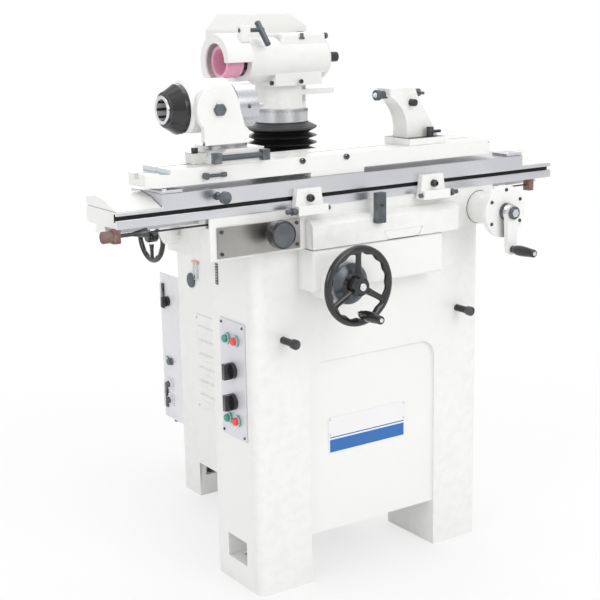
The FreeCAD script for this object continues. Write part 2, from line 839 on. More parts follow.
def base_casting():
    """A hollow casting: a wide front on two legs and a narrow spine to a rear foot."""
    body = doc.addObject("PartDesign::Body", "base")
    plan = [
        ("-half_base", "base_front"),
        ("half_base", "base_front"),
        ("half_base", "front_back"),
        ("spine_half", "front_back"),
        ("spine_half", "spine_back"),
        ("-spine_half", "spine_back"),
        ("-spine_half", "front_back"),
        ("-half_base", "front_back"),
    ]
    pad = body.newObject("PartDesign::Pad", "block")
    pad.Profile = outline(body, "XY_Plane", plan)
    pad.setExpression("Length", formula("base_top"))
    outer = value("corner_round") * 2
    corner_y = value("base_front")

    def front_corner(middle, direction):
        upright = abs(direction.z) > 0.9
        return upright and abs(middle.y - corner_y) < outer and abs(middle.x) > outer

    round_edges(body, "corner_round", front_corner)
    back_y = value("spine_back")
    round_edges(
        body,
        "corner_round",
        lambda middle, direction: abs(direction.z) > 0.9 and abs(middle.y - back_y) < outer,
    )
    span = rectangle(("-arch_half", "arch_half"), ("base_front - overrun", "front_back"))
    pocket(body, "XY_Plane", span, "0", "front_arch_height", True)
    side = rectangle(
        ("-spine_half - overrun", "spine_half + overrun"),
        ("front_back - overrun", "rear_foot_front"),
    )
    pocket(body, "XY_Plane", side, "0", "side_arch_height", True)
    doc.recompute()
    recess = prism(
        "y",
        "base_front - overrun",
        "base_front + recess_depth",
        rectangle(("-arch_half", "arch_half"), ("front_arch_height - overrun", "recess_top")),
        "recess",
    )
    corner_z = value("recess_top")
    round_edges(
        recess,
        "recess_round",
        lambda middle, direction: abs(direction.y) > 0.9 and abs(middle.z - corner_z) < outer,
    )
    floor_y = value("base_front + recess_depth")
    round_edges(
        recess,
        "recess_draft",
        lambda middle, direction: abs(middle.y - floor_y) < 0.1 and abs(direction.y) < 0.1,
    )
    tools = [
        recess,
        box(
            ("-half_base + casting_wall", "half_base - casting_wall"),
            ("base_front + recess_depth + casting_wall", "front_back - casting_wall"),
            ("front_arch_height + casting_wall", "base_top - screw_channel_depth - casting_wall * 2"),
        ),
        box(
            ("-spine_half + casting_wall", "spine_half - casting_wall"),
            ("chamber_front", "spine_back - casting_wall"),
            ("side_arch_height + casting_wall", "base_top - casting_wall"),
        ),
        box(
            ("channel_left", "channel_right"),
            ("base_front - overrun", "screw_slot_back"),
            ("base_top - screw_channel_depth", "base_top - casting_wall"),
        ),
        box(
            ("feed_screw_x - screw_slot_width / 2", "feed_screw_x + screw_slot_width / 2"),
            ("base_front - overrun", "screw_slot_back"),
            ("base_top - casting_wall - overrun", "base_top + overrun"),
        ),
        rod(
            "z",
            ("0", "column_y"),
            "column_bore_floor",
            "base_top + overrun",
            "column_radius + running_gap",
        ),
        rod(
            "x",
            ("lift_screw_y", "lift_shaft_height"),
            "-spine_half - lift_boss_length - overrun",
            "-spine_half + casting_wall + overrun",
            "lift_shaft_radius + running_gap",
        ),
        rod(
            "y",
            ("handwheel_x", "handwheel_height"),
            "base_front - overrun",
            "base_front + casting_wall",
            "feed_shaft_radius + running_gap",
        ),
        box(
            ("-spine_half - overrun", "-spine_half + casting_wall + overrun"),
            ("louvre_front + louvre_margin", "louvre_front + louvre_length - louvre_margin"),
            ("louvre_bottom + louvre_margin", "louvre_bottom + louvre_height - louvre_margin"),
        ),
        box(
            ("-half_base - overrun", "-half_base + panel_box_depth"),
            ("panel_front + panel_margin", "panel_front + panel_length - panel_margin"),
            ("panel_bottom + panel_margin", "panel_bottom + panel_height - panel_margin"),
        ),
    ]
    for side in mirrored("hold_down_x"):
        tools.append(rod("z", (side, "0"), "-overrun", "pocket_floor + overrun", "hold_down_radius"))
        tools.append(
            rod(
                "z",
                (side, "-levelling_offset"),
                "-overrun",
                "pocket_floor + overrun",
                "levelling_screw_radius + running_gap",
            )
        )
    for low, high in (
        ("-half_base - overrun", "-half_base + pocket_depth"),
        ("half_base - pocket_depth", "half_base + overrun"),
    ):
        tools.append(
            box(
                (low, high),
                ("pocket_front", "pocket_back"),
                ("pocket_floor", "pocket_floor + pocket_height"),
            )
        )
    for side in mirrored("rear_hole_x"):
        tools.append(
            rod("z", (side, "rear_hole_y"), "-overrun", "pocket_floor + overrun", "hold_down_radius")
        )
        tools.append(
            rod(
                "z",
                (side, "rear_hole_y - levelling_offset"),
                "-overrun",
                "pocket_floor + overrun",
                "levelling_screw_radius + running_gap",
            )
        )
        tools.append(
            box(
                (f"{side} - rear_pocket_width / 2", f"{side} + rear_pocket_width / 2"),
                ("rear_hole_y - levelling_offset - rear_pocket_width / 2", "spine_back + overrun"),
                ("pocket_floor", "side_arch_height - overrun"),
            )
        )
    for side in mirrored("lifting_stud_spacing / 2"):
        tools.append(
            rod(
                "y",
                (side, "lifting_stud_height"),
                "base_front - overrun",
                "base_front + casting_wall",
                "lifting_stud_radius + running_gap",
            )
        )
    guide = prism(
        "y",
        "base_front + casting_wall",
        "guide_back",
        [
            ("guide_offset - guide_half_width + guide_flare", "base_top - overrun"),
            ("guide_offset + guide_half_width - guide_flare", "base_top - overrun"),
            ("guide_offset + guide_half_width - guide_flare", "base_top"),
            ("guide_offset + guide_half_width", "base_top + guide_height"),
            ("guide_offset - guide_half_width", "base_top + guide_height"),
            ("guide_offset - guide_half_width + guide_flare", "base_top"),
        ],
        "cross_guide",
    )
    boss = rod(
        "x",
        ("lift_screw_y", "lift_shaft_height"),
        "-spine_half - lift_boss_length",
        "-spine_half + overrun",
        "lift_boss_radius",
    )
    return sub_part("base_casting", cut(fuse(body, guide, boss), *tools))


def levelling_screws():
    """Four levelling screws with lock nuts, one beside each hold-down hole."""
    screws = []
    spots = [(side, "-levelling_offset") for side in mirrored("hold_down_x")]
    spots += [(side, "rear_hole_y - levelling_offset") for side in mirrored("rear_hole_x")]
    for spot in spots:
        shank = rod("z", spot, "0", "pocket_floor + levelling_rise", "levelling_screw_radius")
        nut = hexagon(
            "z",
            spot,
            "pocket_floor + seat_gap",
            "pocket_floor + seat_gap + levelling_nut_height",
            "levelling_head_radius",
        )
        head = hexagon(
            "z",
            spot,
            "pocket_floor + levelling_rise",
            "pocket_floor + levelling_rise + levelling_head_height",
            "levelling_head_radius",
        )
        screws.append(fuse(shank, nut, head))
    return sub_part("levelling_screws", group(*screws))


def lifting_studs():
    """Two headed studs that carry the lifting slings."""
    studs = []
    for side in mirrored("lifting_stud_spacing / 2"):
        profile = steps(
            ("lifting_stud_radius", "lifting_stud_length + casting_wall - seat_gap"),
            ("lifting_head_radius", "lifting_head_length"),
        )
        studs.append(
            turned(
                "-y",
                (side, "lifting_stud_height"),
                "base_front + casting_wall - seat_gap",
                profile,
                "stud",
            )
        )
    return sub_part("lifting_studs", group(*studs))


def louvre_cover():
    """The sheet cover with pressed louvres over the vent in the spine."""
    face = "-spine_half - seat_gap"
    plate = box(
        (f"{face} - louvre_plate", face),
        ("louvre_front", "louvre_front + louvre_length"),
        ("louvre_bottom", "louvre_bottom + louvre_height"),
    )
    ribs = []
    for index in range(int(value("louvre_count"))):
        height = f"louvre_bottom + louvre_height / 2 + louvre_pitch * ({index} - (louvre_count - 1) / 2)"
        rib = rod(
            "y",
            (f"{face} - louvre_plate", height),
            "louvre_front + louvre_margin",
            "louvre_front + louvre_length - louvre_margin",
            "louvre_radius",
        )
        ribs.append(rib)
    outside = box(
        (f"{face} - louvre_plate - louvre_radius", f"{face} - louvre_plate / 2"),
        ("louvre_front", "louvre_front + louvre_length"),
        ("louvre_bottom", "louvre_bottom + louvre_height"),
    )
    return sub_part("louvre_cover", fuse(plate, common(fuse(*ribs), outside)))


def control_panel():
    """The switch panel with its round bezels."""
    plate = box(
        ("panel_face - seat_gap", "-half_base - seat_gap"),
        ("panel_front", "panel_front + panel_length"),
        ("panel_bottom", "panel_bottom + panel_height"),
    )
    rings = []
    holes = []
    for height in ("upper_buttons_height", "lower_buttons_height"):
        for side in mirrored("button_spread / 2"):
            spot = (f"panel_centre + {side}", height)
            rings.append(
                rod("x", spot, "panel_face - bezel_length", "panel_face", "bezel_radius")
            )
            holes.append(
                rod(
                    "x",
                    spot,
                    "panel_face - bezel_length - overrun",
                    "-half_base + overrun",
                    "button_radius + running_gap",
                )
            )
    for height in ("upper_selector_height", "lower_selector_height"):
        holes.append(
            rod(
                "x",
                ("panel_centre", height),
                "panel_face - overrun",
                "-half_base + overrun",
                "selector_stem_radius + running_gap",
            )
        )
    return sub_part("control_panel", cut(fuse(plate, *rings), *holes))


def push_button(label, side, height):
    """A push button that slides into the panel."""
    spot = (f"panel_centre + {side}", height)
    profile = [
        ("0", "0"),
        ("button_radius * 3 / 4", "0"),
        ("button_radius", "button_radius / 4"),
        ("button_radius", "button_cap_length"),
        ("button_stem_radius", "button_cap_length"),
        ("button_stem_radius", "button_cap_length + button_stem_length"),
        ("0", "button_cap_length + button_stem_length"),
    ]
    start = "panel_face - bezel_length - button_cap_length * 2 / 3"
    return sub_part(label, turned("x", spot, start, profile, "button"))


def selector(label, height):
    """A rotary selector with a raised grip bar."""
    back = "panel_face - seat_gap * 2"
    disc = rod("x", ("panel_centre", height), f"{back} - selector_disc", back, "selector_radius")
    grip = box(
        (f"{back} - selector_disc - selector_grip_height", f"{back} - selector_disc / 2"),
        ("panel_centre - selector_grip_width / 2", "panel_centre + selector_grip_width / 2"),
        (f"{height} - selector_grip_length / 2", f"{height} + selector_grip_length / 2"),
    )
    stem = rod(
        "x",
        ("panel_centre", height),
        f"{back} - selector_disc / 2",
        f"{back} + selector_stem_length",
        "selector_stem_radius",
    )
    return sub_part(label, fuse(disc, grip, stem))


def apron_housing():
    """The gear case on the front of the base, with the round boss of the hand wheel shaft."""
    case = prism(
        "y",
        "apron_front",
        "base_front - seat_gap",
        rectangle(("apron_left", "apron_left + apron_length"), ("apron_bottom", "apron_top")),
        "apron",
    )
    front_y = value("apron_front")
    round_edges(
        case,
        "apron_round",
        lambda middle, direction: abs(middle.y - front_y) < 0.1 and abs(direction.y) < 0.1,
    )
    boss = rod(
        "y",
        ("handwheel_x", "handwheel_height"),
        "apron_front - apron_boss_length",
        "base_front - seat_gap",
        "apron_boss_radius",
    )
    spaces = []
    for centre in (
        ("handwheel_x", "handwheel_height"),
        ("feed_screw_x", "feed_screw_height"),
    ):
        spaces.append(
            rod(
                "y",
                centre,
                "apron_front + apron_wall",
                "gear_back + seat_gap",
                "gear_distance / 2 + gear_distance / feed_gear_teeth + running_gap * 10",
            )
        )
    bore = rod(
        "y",
        ("handwheel_x", "handwheel_height"),
        "apron_front - apron_boss_length - overrun",
        "base_front + overrun",
        "feed_shaft_radius + running_gap",
    )
    screw_bore = rod(
        "y",
        ("feed_screw_x", "feed_screw_height"),
        "apron_front + apron_wall",
        "base_front + overrun",
        "feed_shaft_radius + running_gap",
    )
    return sub_part("apron_housing", cut(fuse(case, boss), *spaces, bore, screw_bore))


def spur_gear(axis_place, low, high, phase):
    """A spur gear along Y with straight-flanked teeth, as a prism of its outline."""
    count = int(value("feed_gear_teeth"))
    pitch_radius = value("gear_distance") / 2
    module = 2 * pitch_radius / count
    slack = value("feed_gear_backlash_share")
    tip = pitch_radius + module * (1 - slack)
    root = pitch_radius - module * (1 + slack)
    half_pitch = 180 / count
    tooth_shares = (-0.78, -0.28, 0.28, 0.78)
    corners = []
    for tooth in range(count):
        middle = tooth * 2 * half_pitch + phase * half_pitch
        for radius, share in zip((root, tip, tip, root), tooth_shares):
            angle = math.radians(middle + share * half_pitch * (1 - slack))
            corners.append((radius * math.cos(angle), radius * math.sin(angle)))
    spot = Vector(value(axis_place[0]), value(low), value(axis_place[1]))
    points = [spot + Vector(across, 0, up) for across, up in corners]
    face = Part.Face(Part.makePolygon(points + points[:1]))
    item = doc.addObject("Part::Feature", "gear")
    item.Shape = face.extrude(Vector(0, value(high) - value(low), 0))
    return item


def gear_turn():
    """Return the half-tooth phase of the second gear that meshes with the first at rest."""
    across = value("feed_screw_x - handwheel_x")
    up = value("feed_screw_height - handwheel_height")
    lean = math.degrees(math.atan2(up, across))
    half_pitch = 180 / int(value("feed_gear_teeth"))
    first = lean / half_pitch
    second = (lean + 180) / half_pitch + 1
    return first, second


def hand_wheel(axis, centre, plane, radius, rim, hub_radius, hub_length, spoke):
    """A dished three-spoke hand wheel: a round rim, a hub and three straight arms."""
    ring = turned(
        axis,
        centre,
        f"{plane} - {rim}",
        [
            (f"{radius} - {rim} * 7 / 5", "0"),
            (f"{radius} - {rim} * 3 / 5", "0"),
            (radius, f"{rim} * 3 / 5"),
            (radius, f"{rim} * 7 / 5"),
            (f"{radius} - {rim} * 3 / 5", f"{rim} * 2"),
            (f"{radius} - {rim} * 7 / 5", f"{rim} * 2"),
            (f"{radius} - {rim} * 2", f"{rim} * 7 / 5"),
            (f"{radius} - {rim} * 2", f"{rim} * 3 / 5"),
        ],
        "rim",
    )
    hub = rod(axis, centre, f"{plane} - {hub_length} / 2", f"{plane} + {hub_length} / 2", hub_radius)
    arms = []
    for across, up in polar(3, f"({radius} - {rim} / 2)"):
        arm = doc.addObject("Part::Cylinder", "arm")
        arm.setExpression("Radius", formula(spoke))
        arm.setExpression("Height", formula(f"{radius} - {rim}"))
        direction = Vector(value(across), 0, value(up))
        if axis == "x":
            direction = Vector(0, value(across), value(up))
        arm.Placement = Placement(Vector(), Rotation(Vector(0, 0, 1), direction))
        spot = along(axis, centre, plane)
        for letter, text in spot.items():
            arm.setExpression(f"Placement.Base.{letter}", formula(text))
        arms.append(arm)
    return ring, hub, arms


def cross_handwheel():
    """The front hand wheel with its dial, shaft and gear."""
    centre = ("handwheel_x", "handwheel_height")
    ring, hub, arms = hand_wheel(
        "y",
        centre,
        "handwheel_plane",
        "handwheel_radius",
        "rim_thickness",
        "hub_radius",
        "hub_length",
        "spoke_radius",
    )
    dips = []
    count = int(value("rim_scallop_count"))
    throw = "handwheel_radius - rim_thickness * 2 - rim_scallop_radius + rim_scallop_depth"
    for across, up in polar(count, throw):
        dips.append(
            rod(
                "y",
                (f"handwheel_x + {across}", f"handwheel_height + {up}"),
                "handwheel_plane - rim_thickness - overrun",
                "handwheel_plane + rim_thickness + overrun",
                "rim_scallop_radius",
            )
        )
    pin = rod(
        "y",
        ("handwheel_x", "handwheel_height - grip_throw"),
        "handwheel_plane - grip_length - rim_thickness",
        "handwheel_plane",
        "grip_pin_radius",
    )
    dial = turned(
        "-y",
        centre,
        "apron_front - apron_boss_length - seat_gap",
        [
            ("0", "0"),
            ("feed_dial_radius", "0"),
            ("feed_dial_radius", "feed_dial_length * 2 / 3"),
            ("feed_dial_radius * 3 / 4", "feed_dial_length"),
            ("0", "feed_dial_length"),
        ],
        "dial",
    )
    shaft = rod("y", centre, "handwheel_plane", "base_front", "feed_shaft_radius")
    gear = spur_gear(centre, "apron_front + apron_wall + seat_gap", "gear_back", gear_turn()[0])
    nut = hexagon(
        "y",
        centre,
        "handwheel_plane - hub_length / 2 - hub_radius / 3",
        "handwheel_plane",
        "hub_radius / 2",
    )
    wheel = fuse(cut(ring, fuse(*dips)), hub, *arms, pin, nut, shaft, dial, gear)
    return sub_part("cross_handwheel", wheel)


def grip(label, centre, root, end_radius="grip_end_radius"):
    """A swelling grip that spins on its pin, pointing to the operator."""
    bore = "grip_pin_radius + running_gap"
    outside = turned(
        "-y",
        centre,
        root,
        [
            (bore, "0"),
            ("grip_neck_radius", "0"),
            ("grip_neck_radius", "grip_length / 12"),
            ("grip_belly_radius", "grip_length / 6"),
            ("grip_belly_radius", "grip_length * 2 / 3"),
            (end_radius, "grip_length * 3 / 4"),
            (end_radius, "grip_length"),
            (bore, "grip_length"),
        ],
        "grip",
    )
    return sub_part(label, outside)


def cross_feed_screw():
    """The cross feed screw with its gear, turned by the hand wheel's gear."""
    centre = ("feed_screw_x", "feed_screw_height")
    screw = rod(
        "y",
        centre,
        "apron_front + apron_wall + seat_gap",
        "feed_screw_back",
        "feed_shaft_radius",
    )
    gear = spur_gear(centre, "apron_front + apron_wall + seat_gap", "gear_back", gear_turn()[1])
    return sub_part("cross_feed_screw", fuse(screw, gear))


def saddle_casting():
    """The saddle: a slab on the cross guide that carries the table, with the feed nut under it."""
    slab = prism(
        "y",
        "saddle_front",
        "saddle_back",
        rectangle(("saddle_left", "saddle_right"), ("saddle_bottom", "saddle_top")),
        "saddle",
    )
    ends = (value("saddle_left"), value("saddle_right"))
    back_y = value("saddle_back")
    round_edges(
        slab,
        "saddle_round",
        lambda middle, direction: abs(direction.z) > 0.9 and abs(middle.y - back_y) < 1,
    )
    block = prism(
        "x",
        "saddle_block_left",
        "saddle_block_left + saddle_block_length",
        [
            ("saddle_front + overrun", "saddle_bottom"),
            ("block_front", "saddle_bottom"),
            ("block_front", "saddle_block_top - saddle_round"),
            ("block_front + saddle_round", "saddle_block_top"),
            ("saddle_front + overrun", "saddle_block_top"),
        ],
        "front_block",
    )
    boss = rod(
        "x",
        ("saddle_back - saddle_boss_back", "(saddle_bottom + saddle_top) / 2"),
        "saddle_left - saddle_boss_length",
        "saddle_left + overrun",
        "saddle_boss_radius",
    )
    lug = box(
        ("feed_screw_x - feed_nut_width / 2", "feed_screw_x + feed_nut_width / 2"),
        ("feed_nut_rest - feed_nut_length / 2", "feed_nut_rest + feed_nut_length / 2"),
        ("feed_screw_height - feed_nut_drop", "saddle_bottom + overrun"),
    )
    groove = prism(
        "y",
        "block_front - overrun",
        "saddle_back + overrun",
        [
            ("guide_offset - guide_half_width + guide_flare - seat_gap", "saddle_bottom - overrun"),
            ("guide_offset + guide_half_width - guide_flare + seat_gap", "saddle_bottom - overrun"),
            ("guide_offset + guide_half_width - guide_flare + seat_gap", "base_top"),
            ("guide_offset + guide_half_width + seat_gap", "base_top + guide_height"),
            ("guide_offset + guide_half_width + seat_gap", "base_top + guide_height + seat_gap"),
            ("guide_offset - guide_half_width - seat_gap", "base_top + guide_height + seat_gap"),
            ("guide_offset - guide_half_width - seat_gap", "base_top + guide_height"),
            ("guide_offset - guide_half_width + guide_flare - seat_gap", "base_top"),
        ],
        "cross_groove",
    )
    ways = table_guide("saddle_left - overrun", "saddle_right + overrun", "seat_gap", "way_groove")
    channel = box(
        ("saddle_left - overrun", "saddle_right + overrun"),
        ("rope_y - rope_channel_width / 2", "rope_y + rope_channel_width / 2"),
        ("saddle_top - rope_channel_depth", "saddle_top + overrun"),
    )
    drum_space = rod(
        "y",
        ("crank_x", "crank_height"),
        "saddle_front - overrun",
        "rope_y + rope_channel_width / 2",
        "drum_radius + drum_clearance",
    )
    nut_bore = rod(
        "y",
        ("feed_screw_x", "feed_screw_height"),
        "feed_nut_rest - feed_nut_length",
        "feed_nut_rest + feed_nut_length",
        "feed_shaft_radius + running_gap",
    )
    lock_bore = rod(
        "y",
        ("lock_x", "lock_height"),
        "saddle_front - overrun",
        "saddle_front + lock_sink",
        "lock_stem_radius + running_gap",
    )
    whole = fuse(slab, block, boss, lug)
    return sub_part(
        "saddle_casting", cut(whole, groove, ways, channel, drum_space, nut_bore, lock_bore)
    )


def table_guide(left, right, gap, name):
    """The dovetail under the table, or with a gap the groove that it runs in."""
    centre = "swivel_y"
    low = "table_bottom - table_guide_height"
    return prism(
        "x",
        left,
        right,
        [
            (f"{centre} - table_guide_half_width + table_guide_flare - {gap}", "table_bottom + overrun"),
            (f"{centre} - table_guide_half_width + table_guide_flare - {gap}", "table_bottom"),
            (f"{centre} - table_guide_half_width - {gap}", f"{low} - {gap}"),
            (f"{centre} + table_guide_half_width + {gap}", f"{low} - {gap}"),
            (f"{centre} + table_guide_half_width - table_guide_flare + {gap}", "table_bottom"),
            (f"{centre} + table_guide_half_width - table_guide_flare + {gap}", "table_bottom + overrun"),
        ],
        name,
    )


def saddle_cover_plate():
    """The ground steel plate on the saddle's front, with its screws."""
    plate = box(
        ("cover_plate_left", "cover_plate_left + cover_plate_length"),
        ("saddle_front - seat_gap - cover_plate_thickness", "saddle_front - seat_gap"),
        ("cover_plate_bottom", "cover_plate_bottom + cover_plate_height"),
    )
    heads = []
    for x in (
        "cover_plate_left + cover_screw_inset",
        "cover_plate_left + cover_plate_length - cover_screw_inset",
    ):
        for z in (
            "cover_plate_bottom + cover_screw_inset",
            "cover_plate_bottom + cover_plate_height - cover_screw_inset",
        ):
            heads.append(
                rod(
                    "y",
                    (x, z),
                    "saddle_front - seat_gap - cover_plate_thickness - cover_screw_head",
                    "saddle_front - seat_gap * 2",
                    "cover_screw_radius",
                )
            )
    bore = rod(
        "y",
        ("lock_x", "lock_height"),
        "saddle_front - cover_plate_thickness - overrun",
        "saddle_front + overrun",
        "lock_stem_radius + running_gap",
    )
    return sub_part("saddle_cover_plate", cut(fuse(plate, *heads), bore))


def saddle_lock_knob():
    """The stepped black knob that clamps the saddle."""
    profile = steps(
        ("lock_stem_radius", "lock_sink - seat_gap + lock_stem_length"),
        ("lock_collar_radius", "lock_collar_length"),
        ("lock_head_radius", "lock_head_length"),
    )
    spot = ("lock_x", "lock_height")
    knob = turned("-y", spot, "saddle_front + lock_sink - seat_gap", profile, "knob")
    return sub_part("saddle_lock_knob", knob)


def table_stop_block():
    """The upright stop that the trip dogs meet."""
    bar = box(
        ("stop_x - stop_width / 2", "stop_x + stop_width / 2"),
        ("block_front - seat_gap - stop_thickness", "block_front - seat_gap"),
        ("stop_bottom", "stop_bottom + stop_height"),
    )
    screw = rod(
        "y",
        ("stop_x", "(stop_bottom + saddle_block_top) / 2"),
        "block_front - seat_gap - stop_thickness - cover_screw_head",
        "block_front - seat_gap * 2",
        "stop_screw_radius",
    )
    return sub_part("table_stop_block", fuse(bar, screw))


def crank_housing():
    """The flanged barrel that carries the table crank on the saddle's right."""
    centre = ("crank_x", "crank_height")
    profile = [
        ("crank_shaft_radius + running_gap", "0"),
        ("crank_flange_radius", "0"),
        ("crank_flange_radius", "crank_flange_length"),
        ("crank_barrel_radius", "crank_flange_length"),
        ("crank_barrel_radius", "crank_flange_length + crank_barrel_length"),
        ("crank_plate_radius", "crank_flange_length + crank_barrel_length"),
        ("crank_plate_radius", "crank_flange_length + crank_barrel_length + crank_plate_length"),
        (
            "crank_shaft_radius + running_gap",
            "crank_flange_length + crank_barrel_length + crank_plate_length",
        ),
    ]
    barrel = turned("-y", centre, "saddle_front - seat_gap", profile, "barrel")
    front = "saddle_front - seat_gap - crank_flange_length - crank_barrel_length - crank_plate_length"
    heads = []
    for across, up in polar(int(value("crank_screw_count")), "crank_screw_throw"):
        heads.append(
            rod(
                "y",
                (f"crank_x + {across}", f"crank_height + {up}"),
                f"{front} - crank_screw_head",
                f"{front} + overrun",
                "crank_screw_radius",
            )
        )
    return sub_part("crank_housing", fuse(barrel, *heads))


def table_crank():
    """The crank: rope drum, shaft, hub and arm."""
    centre = ("crank_x", "crank_height")
    front = "saddle_front - seat_gap * 2 - crank_flange_length - crank_barrel_length - crank_plate_length"
    shaft = rod(
        "y",
        centre,
        f"{front} - crank_hub_length",
        "rope_y + drum_length / 2",
        "crank_shaft_radius",
    )
    drum = rod("y", centre, "rope_y - drum_length / 2", "rope_y + drum_length / 2", "drum_radius")
    hub = rod("y", centre, f"{front} - crank_hub_length", front, "crank_hub_radius")
    arm_front = f"{front} - crank_hub_length - crank_arm_thickness"
    arm_back = f"{front} - crank_hub_length + seat_gap"
    eye = rod("y", centre, arm_front, arm_back, "crank_arm_hub_radius")
    end = rod(
        "y",
        ("crank_x", "crank_height - crank_throw"),
        arm_front,
        arm_back,
        "crank_arm_end_radius",
    )
    web = prism(
        "y",
        arm_front,
        arm_back,
        [
            ("crank_x - crank_arm_hub_radius", "crank_height"),
            ("crank_x - crank_arm_end_radius", "crank_height - crank_throw"),
            ("crank_x + crank_arm_end_radius", "crank_height - crank_throw"),
            ("crank_x + crank_arm_hub_radius", "crank_height"),
        ],
        "crank_web",
    )
    pin = rod(
        "y",
        ("crank_x", "crank_height - crank_throw"),
        f"{arm_front} - grip_length - seat_gap",
        arm_front,
        "grip_pin_radius",
    )
    nut = hexagon("y", centre, f"{arm_front} - crank_nut_length", arm_front, "crank_nut_radius")
    return sub_part("table_crank", fuse(shaft, drum, hub, eye, end, web, pin, nut))


def lower_table():
    """The long lower table with the trip slot along its front and the raised swivel bed."""
    slot_low = "trip_slot_centre - trip_slot_width / 2"
    slot_high = "trip_slot_centre + trip_slot_width / 2"
    foot_low = "trip_slot_centre - trip_slot_undercut / 2"
    foot_high = "trip_slot_centre + trip_slot_undercut / 2"
    slot_back = "table_front + trip_slot_depth"
    foot_back = "table_front + trip_slot_depth + trip_slot_undercut_depth"
    rail = prism(
        "x",
        "table_left",
        "table_right",
        [
            ("table_front", "table_bottom"),
            ("table_back", "table_bottom"),
            ("table_back", "table_lip_top"),
            ("table_front", "table_lip_top"),
            ("table_front", slot_high),
            (slot_back, slot_high),
            (slot_back, foot_high),
            (foot_back, foot_high),
            (foot_back, foot_low),
            (slot_back, foot_low),
            (slot_back, slot_low),
            ("table_front", slot_low),
        ],
        "table_rail",
    )
    bed = box(
        ("table_block_left", "table_block_right"),
        ("table_front", "table_back"),
        ("table_lip_top", "table_block_top"),
    )
    guide = table_guide("table_left", "table_right", "0", "table_dovetail")
    pin_bore = rod(
        "z",
        ("swivel_x", "swivel_y"),
        "table_block_top - pivot_pin_length - seat_gap",
        "table_block_top + overrun",
        "pivot_pin_radius + running_gap",
    )
    plunger_bore = rod(
        "y",
        ("plunger_x", "plunger_height"),
        "table_front - overrun",
        "table_front + plunger_sink",
        "plunger_radius + running_gap",
    )
    return sub_part("lower_table", cut(fuse(rail, bed, guide), pin_bore, plunger_bore))


def table_end_covers():
    """The two crowned covers over the ends of the lower table."""
    crown = [
        ("table_front", "table_lip_top + seat_gap"),
        ("table_back", "table_lip_top + seat_gap"),
        ("table_back", "table_lip_top + end_cover_edge"),
        ("table_back - table_depth / 3", "table_lip_top + end_cover_crown"),
        ("table_front + table_depth / 3", "table_lip_top + end_cover_edge"),
    ]
    left = prism("x", "table_left", "table_block_left - seat_gap", crown, "left_cover")
    right = prism("x", "table_block_right + seat_gap", "table_right", crown, "right_cover")
    return sub_part("table_end_covers", group(left, right))


def rope_brackets():
    """The two brackets under the table ends that hold the traverse rope, with its tension knob."""
    low = "rope_height - rope_bracket_drop / 2"
    high = "table_bottom - seat_gap"
    across = ("rope_y - rope_bracket_depth / 2", "rope_y + rope_bracket_depth / 2")
    start = "table_left - rope_bracket_overhang"
    left = box((start, f"{start} + rope_bracket_width"), across, (low, high))
    right = box(("rope_right_end", "rope_right_end + rope_bracket_width"), across, (low, high))
    left_bore = rod(
        "x",
        ("rope_y", "rope_height"),
        f"{start} - overrun",
        f"{start} + rope_bracket_width + overrun",
        "rope_rod_radius + running_gap",
    )
    knob = rod(
        "x",
        ("rope_y", "rope_height"),
        f"{start} - seat_gap - rope_knob_length",
        f"{start} - seat_gap",
        "rope_knob_radius",
    )
    knob_bore = rod(
        "x",
        ("rope_y", "rope_height"),
        f"{start} - rope_knob_length * 3 / 4",
        f"{start} + overrun",
        "rope_rod_radius + running_gap",
    )
    return sub_part("rope_brackets", group(cut(left, left_bore), cut(knob, knob_bore), right))


def traverse_rope():
    """The wire rope from its socket and tension rod at the left to the right bracket."""
    centre = ("rope_y", "rope_height")
    start = "table_left - rope_bracket_overhang - rope_knob_length / 2"
    shoulder = "table_left - rope_bracket_overhang + rope_bracket_width + rope_rod_length"
    tension_rod = rod("x", centre, start, shoulder, "rope_rod_radius")
    socket = cone(
        "x",
        centre,
        f"{shoulder} - overrun",
        f"{shoulder} + rope_socket_length",
        "rope_rod_radius",
        "rope_socket_radius",
    )
    rope = rod("x", centre, shoulder, "rope_right_end - seat_gap", "rope_radius")
    return sub_part("traverse_rope", fuse(tension_rod, socket, rope))


